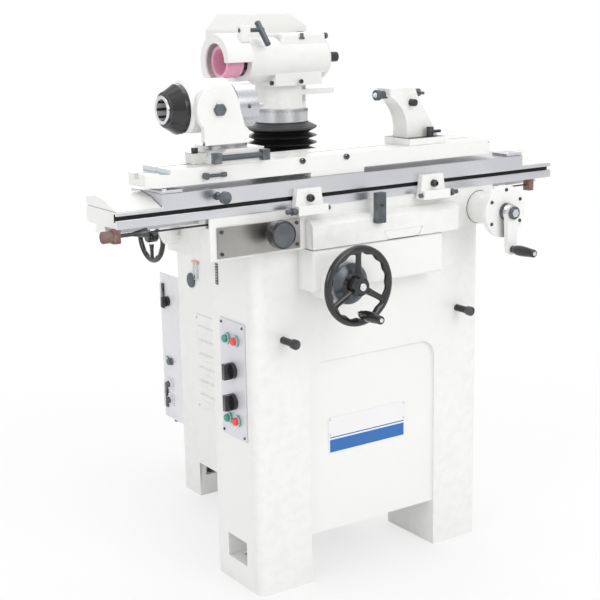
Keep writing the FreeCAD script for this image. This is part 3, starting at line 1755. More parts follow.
def trip_dog(label, x, outward):
    """A trip dog on the front slot: plate, slot key, clamp bolt and adjusting screw."""
    top = "dog_bottom + dog_height"
    plate = prism(
        "y",
        "dog_plate_front",
        "table_front - seat_gap",
        [
            (f"{x} - dog_width / 2", "dog_bottom"),
            (f"{x} + dog_width / 2", "dog_bottom"),
            (f"{x} + dog_width / 2 - dog_taper", top),
            (f"{x} - dog_width / 2 + dog_taper", top),
        ],
        "dog_plate",
    )
    nose = box(
        (f"{x} - dog_width / 2", f"{x} + dog_width / 2"),
        ("dog_plate_front - dog_nose_depth", "dog_plate_front + overrun"),
        ("dog_bottom", "dog_bottom + dog_nose_height"),
    )
    key = box(
        (f"{x} - dog_width / 3", f"{x} + dog_width / 3"),
        ("table_front - seat_gap * 2", "table_front + trip_slot_depth - seat_gap"),
        (
            "trip_slot_centre - trip_slot_width / 2 + seat_gap",
            "trip_slot_centre + trip_slot_width / 2 - seat_gap",
        ),
    )
    bolt = rod(
        "y",
        (x, "trip_slot_centre"),
        "dog_plate_front - dog_bolt_head",
        "dog_plate_front + overrun",
        "dog_bolt_radius",
    )
    reach = {
        "-": ("dog_screw_outer_reach", "dog_screw_inner_reach"),
        "+": ("dog_screw_inner_reach", "dog_screw_outer_reach"),
    }[outward]
    screw = rod(
        "x",
        ("dog_screw_y", "dog_screw_height"),
        f"{x} - dog_width / 2 - {reach[0]}",
        f"{x} + dog_width / 2 + {reach[1]}",
        "dog_screw_radius",
    )
    nut = rod(
        "x",
        ("dog_screw_y", "dog_screw_height"),
        f"{x} {outward} dog_width / 2 {outward} dog_nut_length - dog_nut_length / 2",
        f"{x} {outward} dog_width / 2 {outward} dog_nut_length + dog_nut_length / 2",
        "dog_nut_radius",
    )
    return sub_part(label, fuse(plate, nose, key, bolt, screw, nut))


def index_plunger():
    """The sprung plunger with a round head on the table's front."""
    profile = steps(
        ("plunger_radius", "plunger_sink - seat_gap + plunger_reach"),
        ("plunger_head_radius", "plunger_head_length"),
    )
    spot = ("plunger_x", "plunger_height")
    start = "table_front + plunger_sink - seat_gap"
    return sub_part("index_plunger", turned("-y", spot, start, profile, "plunger"))


def swivel_clamp_plates():
    """The clamp plates with bolts that hold the swivel table's ends."""
    plates = []
    low = "table_block_top + seat_gap"
    for x in (
        "table_block_left",
        "table_block_right - clamp_plate_length",
    ):
        plate = box(
            (x, f"{x} + clamp_plate_length"),
            ("table_front + clamp_plate_inset", "table_front + clamp_plate_inset + clamp_plate_depth"),
            (low, f"{low} + clamp_plate_thickness"),
        )
        bolt = rod(
            "z",
            (f"{x} + clamp_bolt_inset", "table_front + clamp_plate_inset + clamp_bolt_inset"),
            low,
            f"{low} + clamp_plate_thickness + clamp_bolt_head",
            "clamp_bolt_radius",
        )
        plates.append(fuse(plate, bolt))
    return sub_part("swivel_clamp_plates", group(*plates))


def swivel_table():
    """The upper table: a T-slotted plate that swivels on a pin in the lower table."""
    half_neck = "slot_width / 2"
    half_foot = "slot_foot_width / 2"
    neck_floor = "swivel_top - slot_neck_depth"
    foot_floor = "swivel_top - slot_neck_depth - slot_foot_depth"
    front = "swivel_front"
    back = "swivel_front + swivel_depth"
    plate = prism(
        "x",
        "swivel_left",
        "swivel_right",
        [
            (front, "swivel_bottom"),
            (back, "swivel_bottom"),
            (back, "swivel_top"),
            (f"swivel_y + {half_neck}", "swivel_top"),
            (f"swivel_y + {half_neck}", neck_floor),
            (f"swivel_y + {half_foot}", neck_floor),
            (f"swivel_y + {half_foot}", foot_floor),
            (f"swivel_y - {half_foot}", foot_floor),
            (f"swivel_y - {half_foot}", neck_floor),
            (f"swivel_y - {half_neck}", neck_floor),
            (f"swivel_y - {half_neck}", "swivel_top"),
            (front, "swivel_top"),
        ],
        "swivel_plate",
    )
    boss = box(
        ("swivel_x - swivel_boss_half_length", "swivel_x + swivel_boss_half_length"),
        (front, back),
        ("table_block_top + seat_gap", "swivel_bottom + overrun"),
    )
    pin = rod(
        "z",
        ("swivel_x", "swivel_y"),
        "table_block_top - pivot_pin_length",
        "swivel_bottom",
        "pivot_pin_radius",
    )
    tools = []
    for low, high in (
        ("swivel_left - overrun", "swivel_left + swivel_end_wall"),
        ("swivel_right - swivel_end_wall / 2", "swivel_right + overrun"),
    ):
        tools.append(
            box(
                (low, high),
                (f"{front} - overrun", f"{back} + overrun"),
                ("swivel_top - swivel_end_step", "swivel_top + overrun"),
            )
        )
    for x, inward in (("swivel_left", "+"), ("swivel_right", "-")):
        tools.append(
            prism(
                "z",
                "swivel_bottom - overrun",
                "swivel_top + overrun",
                [
                    (f"{x} {inward} swivel_corner", f"{front} - overrun"),
                    (f"{x} {inward} (-overrun)", f"{front} - overrun"),
                    (f"{x} {inward} (-overrun)", f"{front} + swivel_corner"),
                    (f"{x}", f"{front} + swivel_corner"),
                    (f"{x} {inward} swivel_corner", f"{front}"),
                ],
                "corner",
            )
        )
        tools.append(
            prism(
                "z",
                "swivel_bottom - overrun",
                "swivel_top + overrun",
                [
                    (f"{x} {inward} swivel_rear_corner", f"{back} + overrun"),
                    (f"{x} {inward} (-overrun)", f"{back} + overrun"),
                    (f"{x} {inward} (-overrun)", f"{back} - swivel_rear_corner"),
                    (f"{x}", f"{back} - swivel_rear_corner"),
                    (f"{x} {inward} swivel_rear_corner", f"{back}"),
                ],
                "rear_corner",
            )
        )
    return sub_part("swivel_table", cut(fuse(plate, boss, pin), *tools))


def table_clamp_lever():
    """The small lever on the swivel table's front."""
    height = "swivel_top - clamp_lever_drop"
    hub = rod(
        "y",
        ("clamp_lever_x", height),
        "swivel_front - seat_gap - clamp_lever_hub_length",
        "swivel_front - seat_gap",
        "clamp_lever_hub_radius",
    )
    middle = "swivel_front - seat_gap - clamp_lever_hub_length / 2"
    arm = rod(
        "x",
        (middle, height),
        "clamp_lever_x",
        "clamp_lever_x + clamp_lever_length",
        "clamp_lever_radius",
    )
    tip = "clamp_lever_x + clamp_lever_length"
    end = rod(
        "x",
        (middle, height),
        f"{tip} - clamp_lever_end_radius",
        f"{tip} + clamp_lever_end_radius",
        "clamp_lever_end_radius",
    )
    return sub_part("table_clamp_lever", fuse(hub, arm, end))


def workhead_base():
    """The workhead's base with its graduated ring, bolt and fine adjuster bar."""
    low = "swivel_top + seat_gap"
    left = "workhead_base_left"
    right = "workhead_base_left + workhead_base_length"
    front = "workhead_base_front"
    back = "workhead_base_front + workhead_base_depth"
    plate = prism(
        "z",
        low,
        "workhead_base_top",
        [
            (left, front),
            (right, front),
            (right, f"{back} - workhead_base_corner"),
            (f"{right} - workhead_base_corner", back),
            (f"{left} + workhead_base_corner", back),
            (left, f"{back} - workhead_base_corner"),
        ],
        "workhead_plate",
    )
    slope = prism(
        "y",
        f"{front} - overrun",
        f"{back} + overrun",
        [
            (f"{left} - overrun", "workhead_base_top + overrun"),
            (f"{left} - overrun", "swivel_top + workhead_base_height / 3"),
            (left, "swivel_top + workhead_base_height / 3"),
            (f"{left} + workhead_base_corner", "workhead_base_top"),
            (f"{left} + workhead_base_corner", "workhead_base_top + overrun"),
        ],
        "slope",
    )
    ring = rod(
        "z",
        ("workhead_ring_x", "swivel_y"),
        "workhead_base_top - overrun",
        "ring_top",
        "workhead_ring_radius",
    )
    key = box(
        (f"{left} + workhead_base_corner", f"{right} - workhead_base_corner"),
        ("swivel_y - slot_width / 2 + seat_gap", "swivel_y + slot_width / 2 - seat_gap"),
        ("swivel_top - slot_neck_depth / 2", f"{low} + overrun"),
    )
    bolt = hexagon(
        "z",
        (f"{left} - base_lug_length / 2", "swivel_y"),
        f"{low} + base_lug_height - overrun",
        f"{low} + base_lug_height + base_bolt_height",
        "base_bolt_radius",
    )
    lug = box(
        (f"{left} - base_lug_length", f"{left} + overrun"),
        ("swivel_y - base_lug_width / 2", "swivel_y + base_lug_width / 2"),
        (low, f"{low} + base_lug_height"),
    )
    across = (f"{front} - adjuster_depth", f"{front} + seat_gap")
    height = (f"{low} + adjuster_lift", f"{low} + adjuster_lift + adjuster_height")
    first = box(("adjuster_left", "adjuster_left + adjuster_block"), across, height)
    last = box(
        ("adjuster_left + adjuster_length - adjuster_block", "adjuster_left + adjuster_length"),
        across,
        height,
    )
    bar = rod(
        "x",
        (f"{front} - adjuster_depth / 2", f"{low} + adjuster_lift + adjuster_height / 2"),
        "adjuster_left + adjuster_block / 2",
        "adjuster_left + adjuster_length - adjuster_block / 2",
        "adjuster_rod_radius",
    )
    whole = fuse(cut(plate, slope), ring, key, lug, bolt, first, last, bar)
    return sub_part("workhead_base", whole)


def workhead_yoke():
    """The swivelling knee: a foot and one upright cheek with the tilt pivot bolt."""
    left = "cheek_x - yoke_foot_half_length"
    right = "cheek_x + yoke_foot_half_length"
    disc = rod("z", ("workhead_ring_x", "swivel_y"), "yoke_bottom", "yoke_floor", "workhead_ring_radius")
    web = prism(
        "z",
        "yoke_bottom",
        "yoke_floor",
        [
            (left, "cheek_front"),
            (right, "cheek_front"),
            ("workhead_ring_x + workhead_ring_radius", "swivel_y"),
            ("workhead_ring_x - workhead_ring_radius", "swivel_y"),
        ],
        "web",
    )
    foot = fuse(disc, web)
    cheek = prism(
        "y",
        "cheek_front",
        "cheek_back",
        [
            (left, "yoke_floor - seat_gap"),
            (right, "yoke_floor - seat_gap"),
            (right, "yoke_step"),
            (f"{right} - yoke_foot_half_length / 6", "yoke_step + yoke_foot_height"),
            ("workhead_x + cheek_radius", "work_axis"),
            ("workhead_x - cheek_radius", "work_axis"),
            (left, "yoke_step + yoke_foot_height"),
        ],
        "cheek",
    )
    crown = rod("y", ("workhead_x", "work_axis"), "cheek_front", "cheek_back", "cheek_radius")
    head = hexagon(
        "y",
        ("workhead_x", "work_axis"),
        "cheek_front - pivot_bolt_head_length",
        "cheek_front",
        "pivot_bolt_head_radius",
    )
    bolt = rod(
        "y",
        ("workhead_x", "work_axis"),
        "cheek_front",
        "cheek_back + head_neck_depth - overrun",
        "pivot_bolt_radius",
    )
    return sub_part("workhead_yoke", fuse(foot, cheek, crown, head, bolt))


def workhead_body():
    """The tilting spindle housing, flattened below so that it clears the yoke's foot."""
    barrel = turned(
        "x",
        ("swivel_y", "work_axis"),
        "head_barrel_left",
        [
            ("spindle_radius + running_gap", "0"),
            ("head_barrel_radius - saddle_round / 2", "0"),
            ("head_barrel_radius", "saddle_round / 2"),
            ("head_barrel_radius", "head_barrel_right - head_barrel_left - saddle_round"),
            ("head_barrel_radius - saddle_round", "head_barrel_right - head_barrel_left"),
            ("spindle_radius + running_gap", "head_barrel_right - head_barrel_left"),
        ],
        "head_barrel",
    )
    flat = box(
        ("head_barrel_left - overrun", "head_barrel_right + overrun"),
        ("swivel_y - head_barrel_radius - overrun", "swivel_y + head_barrel_radius + overrun"),
        ("work_axis - head_barrel_radius - overrun", "work_axis - head_flat"),
    )
    neck = rod(
        "y",
        ("workhead_x", "work_axis"),
        "cheek_back + seat_gap",
        "cheek_back + seat_gap + head_neck_depth",
        "head_neck_radius",
    )
    pivot_bore = rod(
        "y",
        ("workhead_x", "work_axis"),
        "cheek_back - overrun",
        "cheek_back + head_neck_depth - overrun + seat_gap",
        "pivot_bolt_radius + running_gap",
    )
    return sub_part("workhead_body", cut(fuse(cut(barrel, flat), neck), pivot_bore))


def work_spindle():
    """The hollow work spindle."""
    tube = rod(
        "x",
        ("swivel_y", "work_axis"),
        "spindle_left",
        "head_barrel_right + seat_gap + index_drum_length",
        "spindle_radius",
    )
    bore = rod(
        "x",
        ("swivel_y", "work_axis"),
        "spindle_left - overrun",
        "head_barrel_right + index_drum_length + overrun",
        "spindle_bore_radius",
    )
    return sub_part("work_spindle", cut(tube, bore))


def spindle_nose_nut():
    """The black tapered nut behind the spindle nose."""
    length = "head_barrel_left - seat_gap - nose_nut_left"
    nut = turned(
        "x",
        ("swivel_y", "work_axis"),
        "nose_nut_left",
        [
            ("spindle_radius + running_gap", "0"),
            ("nose_nut_small_radius", "0"),
            ("nose_nut_large_radius", f"{length} - nose_nut_collar"),
            ("nose_nut_large_radius", length),
            ("spindle_radius + running_gap", length),
        ],
        "nose_nut",
    )
    return sub_part("spindle_nose_nut", nut)


def indexing_drum():
    """The steel indexing drum at the spindle's right end, with a radial hole and a pin."""
    start = "head_barrel_right + seat_gap"
    end = "head_barrel_right + seat_gap + index_drum_length"
    drum = turned(
        "x",
        ("swivel_y", "work_axis"),
        start,
        [
            ("spindle_radius + running_gap", "0"),
            ("index_drum_radius", "0"),
            ("index_drum_radius", "index_drum_length"),
            ("spindle_radius + running_gap", "index_drum_length"),
        ],
        "index_drum",
    )
    hole = rod(
        "y",
        ("head_barrel_right + index_drum_length / 2", "work_axis"),
        "swivel_y - index_drum_radius - overrun",
        "swivel_y - index_drum_radius + index_pin_length",
        "index_pin_radius",
    )
    pin = rod(
        "x",
        ("swivel_y - index_pin_circle", "work_axis"),
        f"{end} - overrun",
        f"{end} + index_pin_length",
        "index_pin_radius",
    )
    return sub_part("indexing_drum", fuse(cut(drum, hole), pin))


def tailstock_body():
    """The gooseneck tailstock with its clamp bolt and knob."""
    back = "tailstock_front + tailstock_width"
    neck = prism(
        "y",
        "tailstock_front",
        back,
        [
            ("tailstock_nose_x", "tail_top"),
            ("tailstock_nose_x", "tail_bottom"),
            ("tailstock_heel", "tail_bottom"),
            ("tailstock_heel", "tail_bottom + tailstock_heel_height"),
            ("tailstock_shoulder_back", "tail_top - tailstock_shoulder_drop"),
            ("tailstock_top_back", "tail_top"),
        ],
        "gooseneck",
    )
    throat = rod(
        "y",
        ("tailstock_throat_x", "tail_bottom + tailstock_throat_height"),
        "tailstock_front - overrun",
        f"{back} + overrun",
        "tailstock_throat_radius",
    )
    foot = box(
        ("tailstock_toe", "tailstock_heel"),
        ("tailstock_base_front", "tailstock_base_front + tailstock_base_depth"),
        ("tail_bottom", "tail_bottom + tailstock_heel_height"),
    )
    key = box(
        ("tailstock_toe", "tailstock_heel"),
        ("swivel_y - slot_width / 2 + seat_gap", "swivel_y + slot_width / 2 - seat_gap"),
        ("swivel_top - slot_neck_depth / 2", "tail_bottom + overrun"),
    )
    quill_bore = rod(
        "x",
        ("swivel_y", "work_axis"),
        "tailstock_nose_x - overrun",
        "tailstock_shoulder_back + overrun * 4",
        "quill_radius + running_gap",
    )
    knob = rod(
        "y",
        ("tail_knob_x", "tail_top - tail_knob_drop"),
        "tailstock_front - tail_knob_length",
        "tailstock_front + overrun",
        "tail_knob_radius",
    )
    bolt_y = "(tailstock_base_front + tailstock_front) / 2"
    bolt = rod(
        "z",
        ("tail_bolt_x", bolt_y),
        "tail_bottom + tailstock_heel_height - overrun",
        "tail_bottom + tailstock_heel_height + tail_bolt_height",
        "tail_bolt_radius",
    )
    lever = rod(
        "x",
        (bolt_y, "tail_bottom + tailstock_heel_height + tail_bolt_height / 2"),
        "tail_bolt_x",
        "tail_bolt_x + tail_lever_length",
        "clamp_lever_radius",
    )
    whole = fuse(cut(neck, throat), foot, key, knob, bolt, lever)
    return sub_part("tailstock_body", cut(whole, quill_bore))


def tailstock_quill():
    """The sprung centre with its 60 degree point and draw-back lever."""
    start = "tailstock_nose_x - quill_reach"
    profile = [
        ("0", "0"),
        ("quill_radius * 2 / 3", "quill_point_length"),
        ("quill_collar_radius", "quill_point_length"),
        ("quill_collar_radius", "quill_point_length + quill_collar_length"),
        ("quill_radius", "quill_point_length + quill_collar_length"),
        ("quill_radius", "quill_reach + tailstock_shoulder_back - tailstock_nose_x + quill_tail"),
        ("0", "quill_reach + tailstock_shoulder_back - tailstock_nose_x + quill_tail"),
    ]
    quill = turned("x", ("swivel_y", "work_axis"), start, profile, "quill")
    lever = rod(
        "y",
        ("tailstock_shoulder_back + quill_tail * 2 / 3", "work_axis"),
        "swivel_y - quill_lever_length",
        "swivel_y",
        "quill_lever_radius",
    )
    return sub_part("tailstock_quill", fuse(quill, lever))


def elevating_column():
    """The round column with the arm that holds the elevating nut."""
    tube = rod("z", ("0", "column_y"), "column_foot", "column_head", "column_radius")
    bore = rod(
        "z",
        ("0", "column_y"),
        "column_foot - overrun",
        "column_head - casting_wall",
        "column_bore_radius",
    )
    arm = box(
        ("-lift_arm_width / 2", "lift_arm_width / 2"),
        ("column_y + column_bore_radius + overrun", "lift_screw_y + lift_arm_back"),
        ("column_foot", "column_foot + lift_arm_height"),
    )
    nut_bore = rod(
        "z",
        ("0", "lift_screw_y"),
        "column_foot - overrun",
        "column_foot + lift_arm_height + overrun",
        "lift_screw_radius + running_gap",
    )
    return sub_part("elevating_column", cut(fuse(cut(tube, bore), arm), nut_bore))


def elevating_screw():
    """The upright screw with its crown wheel."""
    screw = rod("z", ("0", "lift_screw_y"), "lift_screw_bottom", "lift_screw_top", "lift_screw_radius")
    crown_top = "lift_shaft_height - crown_gear_radius + lift_pinion_length / 2 - seat_gap"
    crown = turned(
        "z",
        ("0", "lift_screw_y"),
        f"{crown_top} - crown_gear_height",
        [
            ("0", "0"),
            ("crown_gear_radius * 3 / 4", "0"),
            ("crown_gear_radius", "crown_gear_height / 2"),
            ("crown_gear_radius", "crown_gear_height"),
            ("0", "crown_gear_height"),
        ],
        "crown_wheel",
    )
    return sub_part("elevating_screw", fuse(screw, crown))


def elevating_handwheel():
    """The left hand wheel on its long shaft, with the pinion that turns the crown wheel."""
    centre = ("lift_screw_y", "lift_shaft_height")
    ring, hub, arms = hand_wheel(
        "x",
        centre,
        "lift_wheel_x",
        "lift_wheel_radius",
        "lift_rim_thickness",
        "lift_hub_radius",
        "lift_hub_length",
        "lift_spoke_radius",
    )
    shaft = rod(
        "x",
        centre,
        "lift_wheel_x - lift_hub_length / 2",
        "lift_pinion_right",
        "lift_shaft_radius",
    )
    pinion = rod(
        "x",
        centre,
        "lift_pinion_right - lift_pinion_length",
        "lift_pinion_right",
        "crown_gear_radius - lift_pinion_length / 2",
    )
    handle = rod(
        "x",
        ("lift_screw_y", "lift_shaft_height + lift_wheel_radius - lift_rim_thickness"),
        "lift_wheel_x - lift_grip_length",
        "lift_wheel_x",
        "lift_grip_radius",
    )
    wheel = fuse(ring, hub, *arms, shaft, pinion, handle)
    return sub_part("elevating_handwheel", wheel)


def many_sided(place_x, radius, sides):
    """Return the corners of a regular ring square to the X axis."""
    turn = 2 * math.pi / sides
    return [Vector(place_x, radius * math.cos(turn * side), radius * math.sin(turn * side)) for side in range(sides)]


def folded(root, tip, length, rim, count):
    """A pleated solid on the X axis: flat facets between four many-sided rings for each fold."""
    pitch = length / count
    sides = int(value("bellows_side_count"))
    rings = [many_sided(0, root, sides)]
    for index in range(count):
        middle = (index + 0.5) * pitch
        rings.append(many_sided(middle - rim / 2, tip, sides))
        rings.append(many_sided(middle + rim / 2, tip, sides))
        rings.append(many_sided(middle + pitch / 2, root, sides))
    faces = [Part.Face(Part.makePolygon(ring + ring[:1])) for ring in (rings[0], rings[-1])]
    for low, high in zip(rings, rings[1:]):
        for side in range(sides):
            after = (side + 1) % sides
            corners = [low[side], low[after], high[after], high[side], low[side]]
            faces.append(Part.Face(Part.makePolygon(corners)))
    return Part.Solid(Part.makeShell(faces))


def bellows():
    """The black bellows round the column: a thin folded sleeve under a wide cap."""
    low = value("bellows_bottom")
    high = value("column_head - bellows_cap")
    wall = value("bellows_wall")
    count = int(value("bellows_fold_count"))
    root, tip, rim = value("bellows_root_radius"), value("bellows_tip_radius"), value("bellows_rim")
    outside = folded(root, tip, high - low, rim, count)
    bore = Part.makeCylinder(root - wall, high - low, Vector(), Vector(1, 0, 0))
    sleeve = outside.cut(bore)
    cap_radius = value("column_radius + seat_gap")
    cap = Part.makeCylinder(tip, value("bellows_cap"), Vector(high - low, 0, 0), Vector(1, 0, 0))
    hole = Part.makeCylinder(cap_radius, high, Vector(0, 0, 0), Vector(1, 0, 0))
    item = doc.addObject("Part::Feature", "bellows")
    item.Shape = sleeve.fuse(cap).cut(hole).removeSplitter()
    item.Placement = Placement(Vector(0, value("column_y"), low), Rotation(Vector(0, 1, 0), -90))
    return sub_part("bellows", item)


def swivel_scale_ring():
    """The graduated steel ring on the column's head."""
    ring = rod(
        "z",
        ("0", "column_y"),
        "scale_ring_bottom",
        "scale_ring_bottom + scale_ring_height",
        "scale_ring_radius",
    )
    return sub_part("swivel_scale_ring", ring)


def wheelhead_swivel_base():
    """The round neck of the wheelhead with its clamping tongue."""
    neck = rod("z", ("0", "column_y"), "neck_bottom", "neck_top", "neck_radius")
    reach = "neck_radius + tongue_length"
    across = ("wheel_axis_y - tongue_width / 2", "wheel_axis_y + tongue_width / 2")
    height = ("neck_bottom + tongue_lift", "neck_bottom + tongue_lift + tongue_thickness")
    tongue = box(("0", f"{reach} - tongue_width / 2"), across, height)
    tip = rod(
        "z",
        (f"{reach} - tongue_width / 2", "wheel_axis_y"),
        height[0],
        height[1],
        "tongue_width / 2",
    )
    return sub_part("wheelhead_swivel_base", fuse(neck, tongue, tip))


def wheelhead_housing():
    """The spindle housing: a round barrel under a flat pad, on a foot that runs to the motor."""
    axis = ("wheel_axis_y", "wheel_axis_height")
    length = "barrel_right - barrel_left"
    barrel = turned(
        "x",
        axis,
        "barrel_left",
        [
            ("0", "0"),
            ("barrel_radius", "0"),
            ("barrel_radius", f"{length} - barrel_end_round"),
            ("barrel_radius - barrel_end_round / 3", f"{length} - barrel_end_round / 3"),
            ("barrel_radius - barrel_end_round", length),
            ("0", length),
        ],
        "barrel",
    )
    pad = prism(
        "z",
        "wheel_axis_height + overrun",
        "pad_top",
        rectangle(
            ("head_pad_left", "head_pad_right"),
            ("wheel_axis_y - head_pad_width / 2", "wheel_axis_y + head_pad_width / 2"),
        ),
        "head_pad",
    )
    top_z = value("pad_top")
    round_edges(
        pad,
        "head_pad_round",
        lambda middle, direction: abs(direction.z) > 0.9 or abs(middle.z - top_z) < 0.1,
    )
    foot = box(
        ("-head_foot_half_length", "head_foot_half_length"),
        ("head_foot_front", "head_foot_back"),
        ("foot_bottom", "wheel_axis_height - barrel_radius / 2"),
    )
    rear = box(
        ("barrel_left + barrel_end_round", "barrel_right - barrel_end_round"),
        ("wheel_axis_y + overrun", "head_saddle_back"),
        ("wheel_axis_height - barrel_radius * 4 / 5", "wheel_axis_height + barrel_radius / 2"),
    )
    bore = rod(
        "x",
        axis,
        "barrel_left - overrun",
        "barrel_right + overrun",
        "barrel_bore_radius + running_gap",
    )
    slot = box(
        ("belt_slot_left", "belt_slot_left + belt_slot_width"),
        ("wheel_axis_y", "head_saddle_back + overrun"),
        ("wheel_axis_height - barrel_bore_radius", "motor_height + motor_pulley_radius"),
    )
    return sub_part("wheelhead_housing", cut(fuse(barrel, pad, foot, rear), bore, slot))


def belt_cover():
    """The sheet cover over the motor and belt behind the spindle housing."""
    wall = "cover_wall"
    outer = [
        ("cover_left", "cover_bottom"),
        ("cover_right", "cover_bottom"),
        ("cover_right", "cover_right_shoulder"),
        ("cover_right - cover_right_run", "cover_top"),
        ("cover_left + cover_left_run * 2", "cover_top"),
        ("cover_left + cover_left_run", "(cover_top + cover_left_shoulder) / 2"),
        ("cover_left", "cover_left_shoulder"),
    ]
    inner = [
        (f"cover_left + {wall}", f"cover_bottom + {wall}"),
        (f"cover_right - {wall}", f"cover_bottom + {wall}"),
        (f"cover_right - {wall}", f"cover_right_shoulder - {wall} / 2"),
        (f"cover_right - cover_right_run - {wall} / 2", f"cover_top - {wall}"),
        (f"cover_left + cover_left_run * 2 + {wall} / 2", f"cover_top - {wall}"),
        (f"cover_left + cover_left_run + {wall}", f"(cover_top + cover_left_shoulder) / 2 - {wall} / 2"),
        (f"cover_left + {wall}", f"cover_left_shoulder - {wall} / 2"),
    ]
    front = "head_saddle_back + seat_gap"
    shell = prism("y", front, "cover_back", outer, "cover")
    hollow = prism("y", f"{front} + {wall}", f"cover_back - {wall}", inner, "hollow")
    slot = box(
        ("belt_slot_left", "belt_slot_left + belt_slot_width"),
        (f"{front} - overrun", f"{front} + {wall} + overrun"),
        (
            "wheel_axis_height - barrel_bore_radius",
            "motor_height + motor_pulley_radius + belt_thickness * 2",
        ),
    )
    foot = box(
        ("-head_foot_half_length - seat_gap", "head_foot_half_length + seat_gap"),
        (f"{front} - overrun", "head_foot_back + seat_gap"),
        ("cover_bottom - overrun", "wheel_axis_height - barrel_radius / 2 + seat_gap"),
    )
    return sub_part("belt_cover", cut(shell, hollow, slot, foot))


def wheelhead_motor():
    """The motor inside the cover, on its foot."""
    axis = ("motor_y", "motor_height")
    can = turned(
        "x",
        axis,
        "motor_left",
        [
            ("motor_radius / 4", "0"),
            ("motor_radius - motor_foot_height / 2", "0"),
            ("motor_radius", "motor_foot_height / 2"),
            ("motor_radius", "motor_right - motor_left"),
            ("motor_radius / 4", "motor_right - motor_left"),
        ],
        "motor_can",
    )
    foot = box(
        ("motor_left + motor_foot_height", "motor_right - motor_foot_height"),
        ("motor_y - motor_radius / 2", "motor_y + motor_radius / 2"),
        ("cover_bottom + cover_wall + seat_gap", "motor_height - motor_radius / 2"),
    )
    bore = rod(
        "x",
        axis,
        "motor_left - overrun",
        "motor_right + overrun",
        "grinding_spindle_radius + running_gap",
    )
    return sub_part("wheelhead_motor", cut(fuse(can, foot), bore))


def motor_pulley():
    """The motor shaft with its belt pulley."""
    axis = ("motor_y", "motor_height")
    shaft = rod(
        "x",
        axis,
        "motor_left",
        "belt_slot_left + belt_slot_width / 2 + pulley_width / 2",
        "grinding_spindle_radius",
    )
    middle = "belt_slot_left + belt_slot_width / 2"
    disc = rod(
        "x",
        axis,
        f"{middle} - pulley_width / 2",
        f"{middle} + pulley_width / 2",
        "motor_pulley_radius",
    )
    return sub_part("motor_pulley", fuse(shaft, disc))


def belt_loop(first, second, first_radius, second_radius):
    """Return the closed face round two circles joined by their outer tangents, across X."""
    gap = second - first
    distance = math.hypot(gap.y, gap.z)
    lean = math.atan2(gap.z, gap.y)
    spread = math.acos((first_radius - second_radius) / distance)

    def on_circle(centre, radius, angle):
        return centre + Vector(0, radius * math.cos(angle), radius * math.sin(angle))

    a = on_circle(first, first_radius, lean + spread)
    b = on_circle(first, first_radius, lean + math.pi)
    c = on_circle(first, first_radius, lean - spread)
    d = on_circle(second, second_radius, lean - spread)
    e = on_circle(second, second_radius, lean)
    f = on_circle(second, second_radius, lean + spread)
    edges = [
        Part.Arc(a, b, c).toShape(),
        Part.LineSegment(c, d).toShape(),
        Part.Arc(d, e, f).toShape(),
        Part.LineSegment(f, a).toShape(),
    ]
    return Part.Face(Part.Wire(edges))


def drive_belt():
    """The flat belt round the two pulleys."""
    left = value("belt_slot_left + (belt_slot_width - belt_width) / 2")
    first = Vector(left, value("wheel_axis_y"), value("wheel_axis_height"))
    second = Vector(left, value("motor_y"), value("motor_height"))
    gap = value("seat_gap")
    small = value("spindle_pulley_radius") + gap
    large = value("motor_pulley_radius") + gap
    thickness = value("belt_thickness")
    outer = belt_loop(first, second, small + thickness, large + thickness)
    inner = belt_loop(first, second, small, large)
    width = Vector(value("belt_width"), 0, 0)
    item = doc.addObject("Part::Feature", "belt")
    item.Shape = outer.extrude(width).cut(inner.extrude(width))
    return sub_part("drive_belt", item)


def grinding_spindle():
    """The grinding spindle with its two bearings, belt pulley and end flanges."""
    axis = ("wheel_axis_y", "wheel_axis_height")
    wheel_face = "barrel_left - seat_gap * 4"
    shaft = rod(
        "x",
        axis,
        f"{wheel_face} - wheel_flange_length - wheel_back",
        "barrel_right + rear_flange_length",
        "wheel_bore_radius",
    )
    thick = rod("x", axis, wheel_face, "barrel_right", "grinding_spindle_radius")
    pieces = [shaft, thick]
    for low in (
        "barrel_left + bearing_inset",
        "belt_slot_left - bearing_inset - bearing_length",
    ):
        pieces.append(rod("x", axis, low, f"{low} + bearing_length", "barrel_bore_radius"))
    middle = "belt_slot_left + belt_slot_width / 2"
    pieces.append(
        rod(
            "x",
            axis,
            f"{middle} - pulley_width / 2",
            f"{middle} + pulley_width / 2",
            "spindle_pulley_radius",
        )
    )
    flange_start = "barrel_right + seat_gap"
    pieces.append(
        cone(
            "x",
            axis,
            flange_start,
            f"{flange_start} + rear_flange_length",
            "rear_flange_radius",
            "rear_flange_radius * 3 / 4",
        )
    )
    pieces.append(
        rod(
            "x",
            axis,
            "barrel_right",
            f"{flange_start} + rear_flange_length + rear_nut_length",
            "rear_nut_radius",
        )
    )
    pieces.append(
        rod("x", axis, f"{wheel_face} - wheel_flange_length", wheel_face, "wheel_flange_radius")
    )
    return sub_part("grinding_spindle", fuse(*pieces))


def cup_wheel():
    """The pink cup wheel with its clamping nut."""
    axis = ("wheel_axis_y", "wheel_axis_height")
    back = "barrel_left - seat_gap * 5 - wheel_flange_length"
    wheel = turned(
        "-x",
        axis,
        back,
        [
            ("wheel_bore_radius + running_gap", "0"),
            ("wheel_radius", "0"),
            ("wheel_radius", "wheel_length"),
            ("wheel_radius - wheel_wall", "wheel_length"),
            ("wheel_radius - wheel_wall", "wheel_back"),
            ("wheel_bore_radius + running_gap", "wheel_back"),
        ],
        "cup",
    )
    nut_start = f"{back} - wheel_back - seat_gap"
    nut = rod("x", axis, f"{nut_start} - wheel_nut_length", nut_start, "wheel_nut_radius")
    return sub_part("cup_wheel", group(wheel, nut))


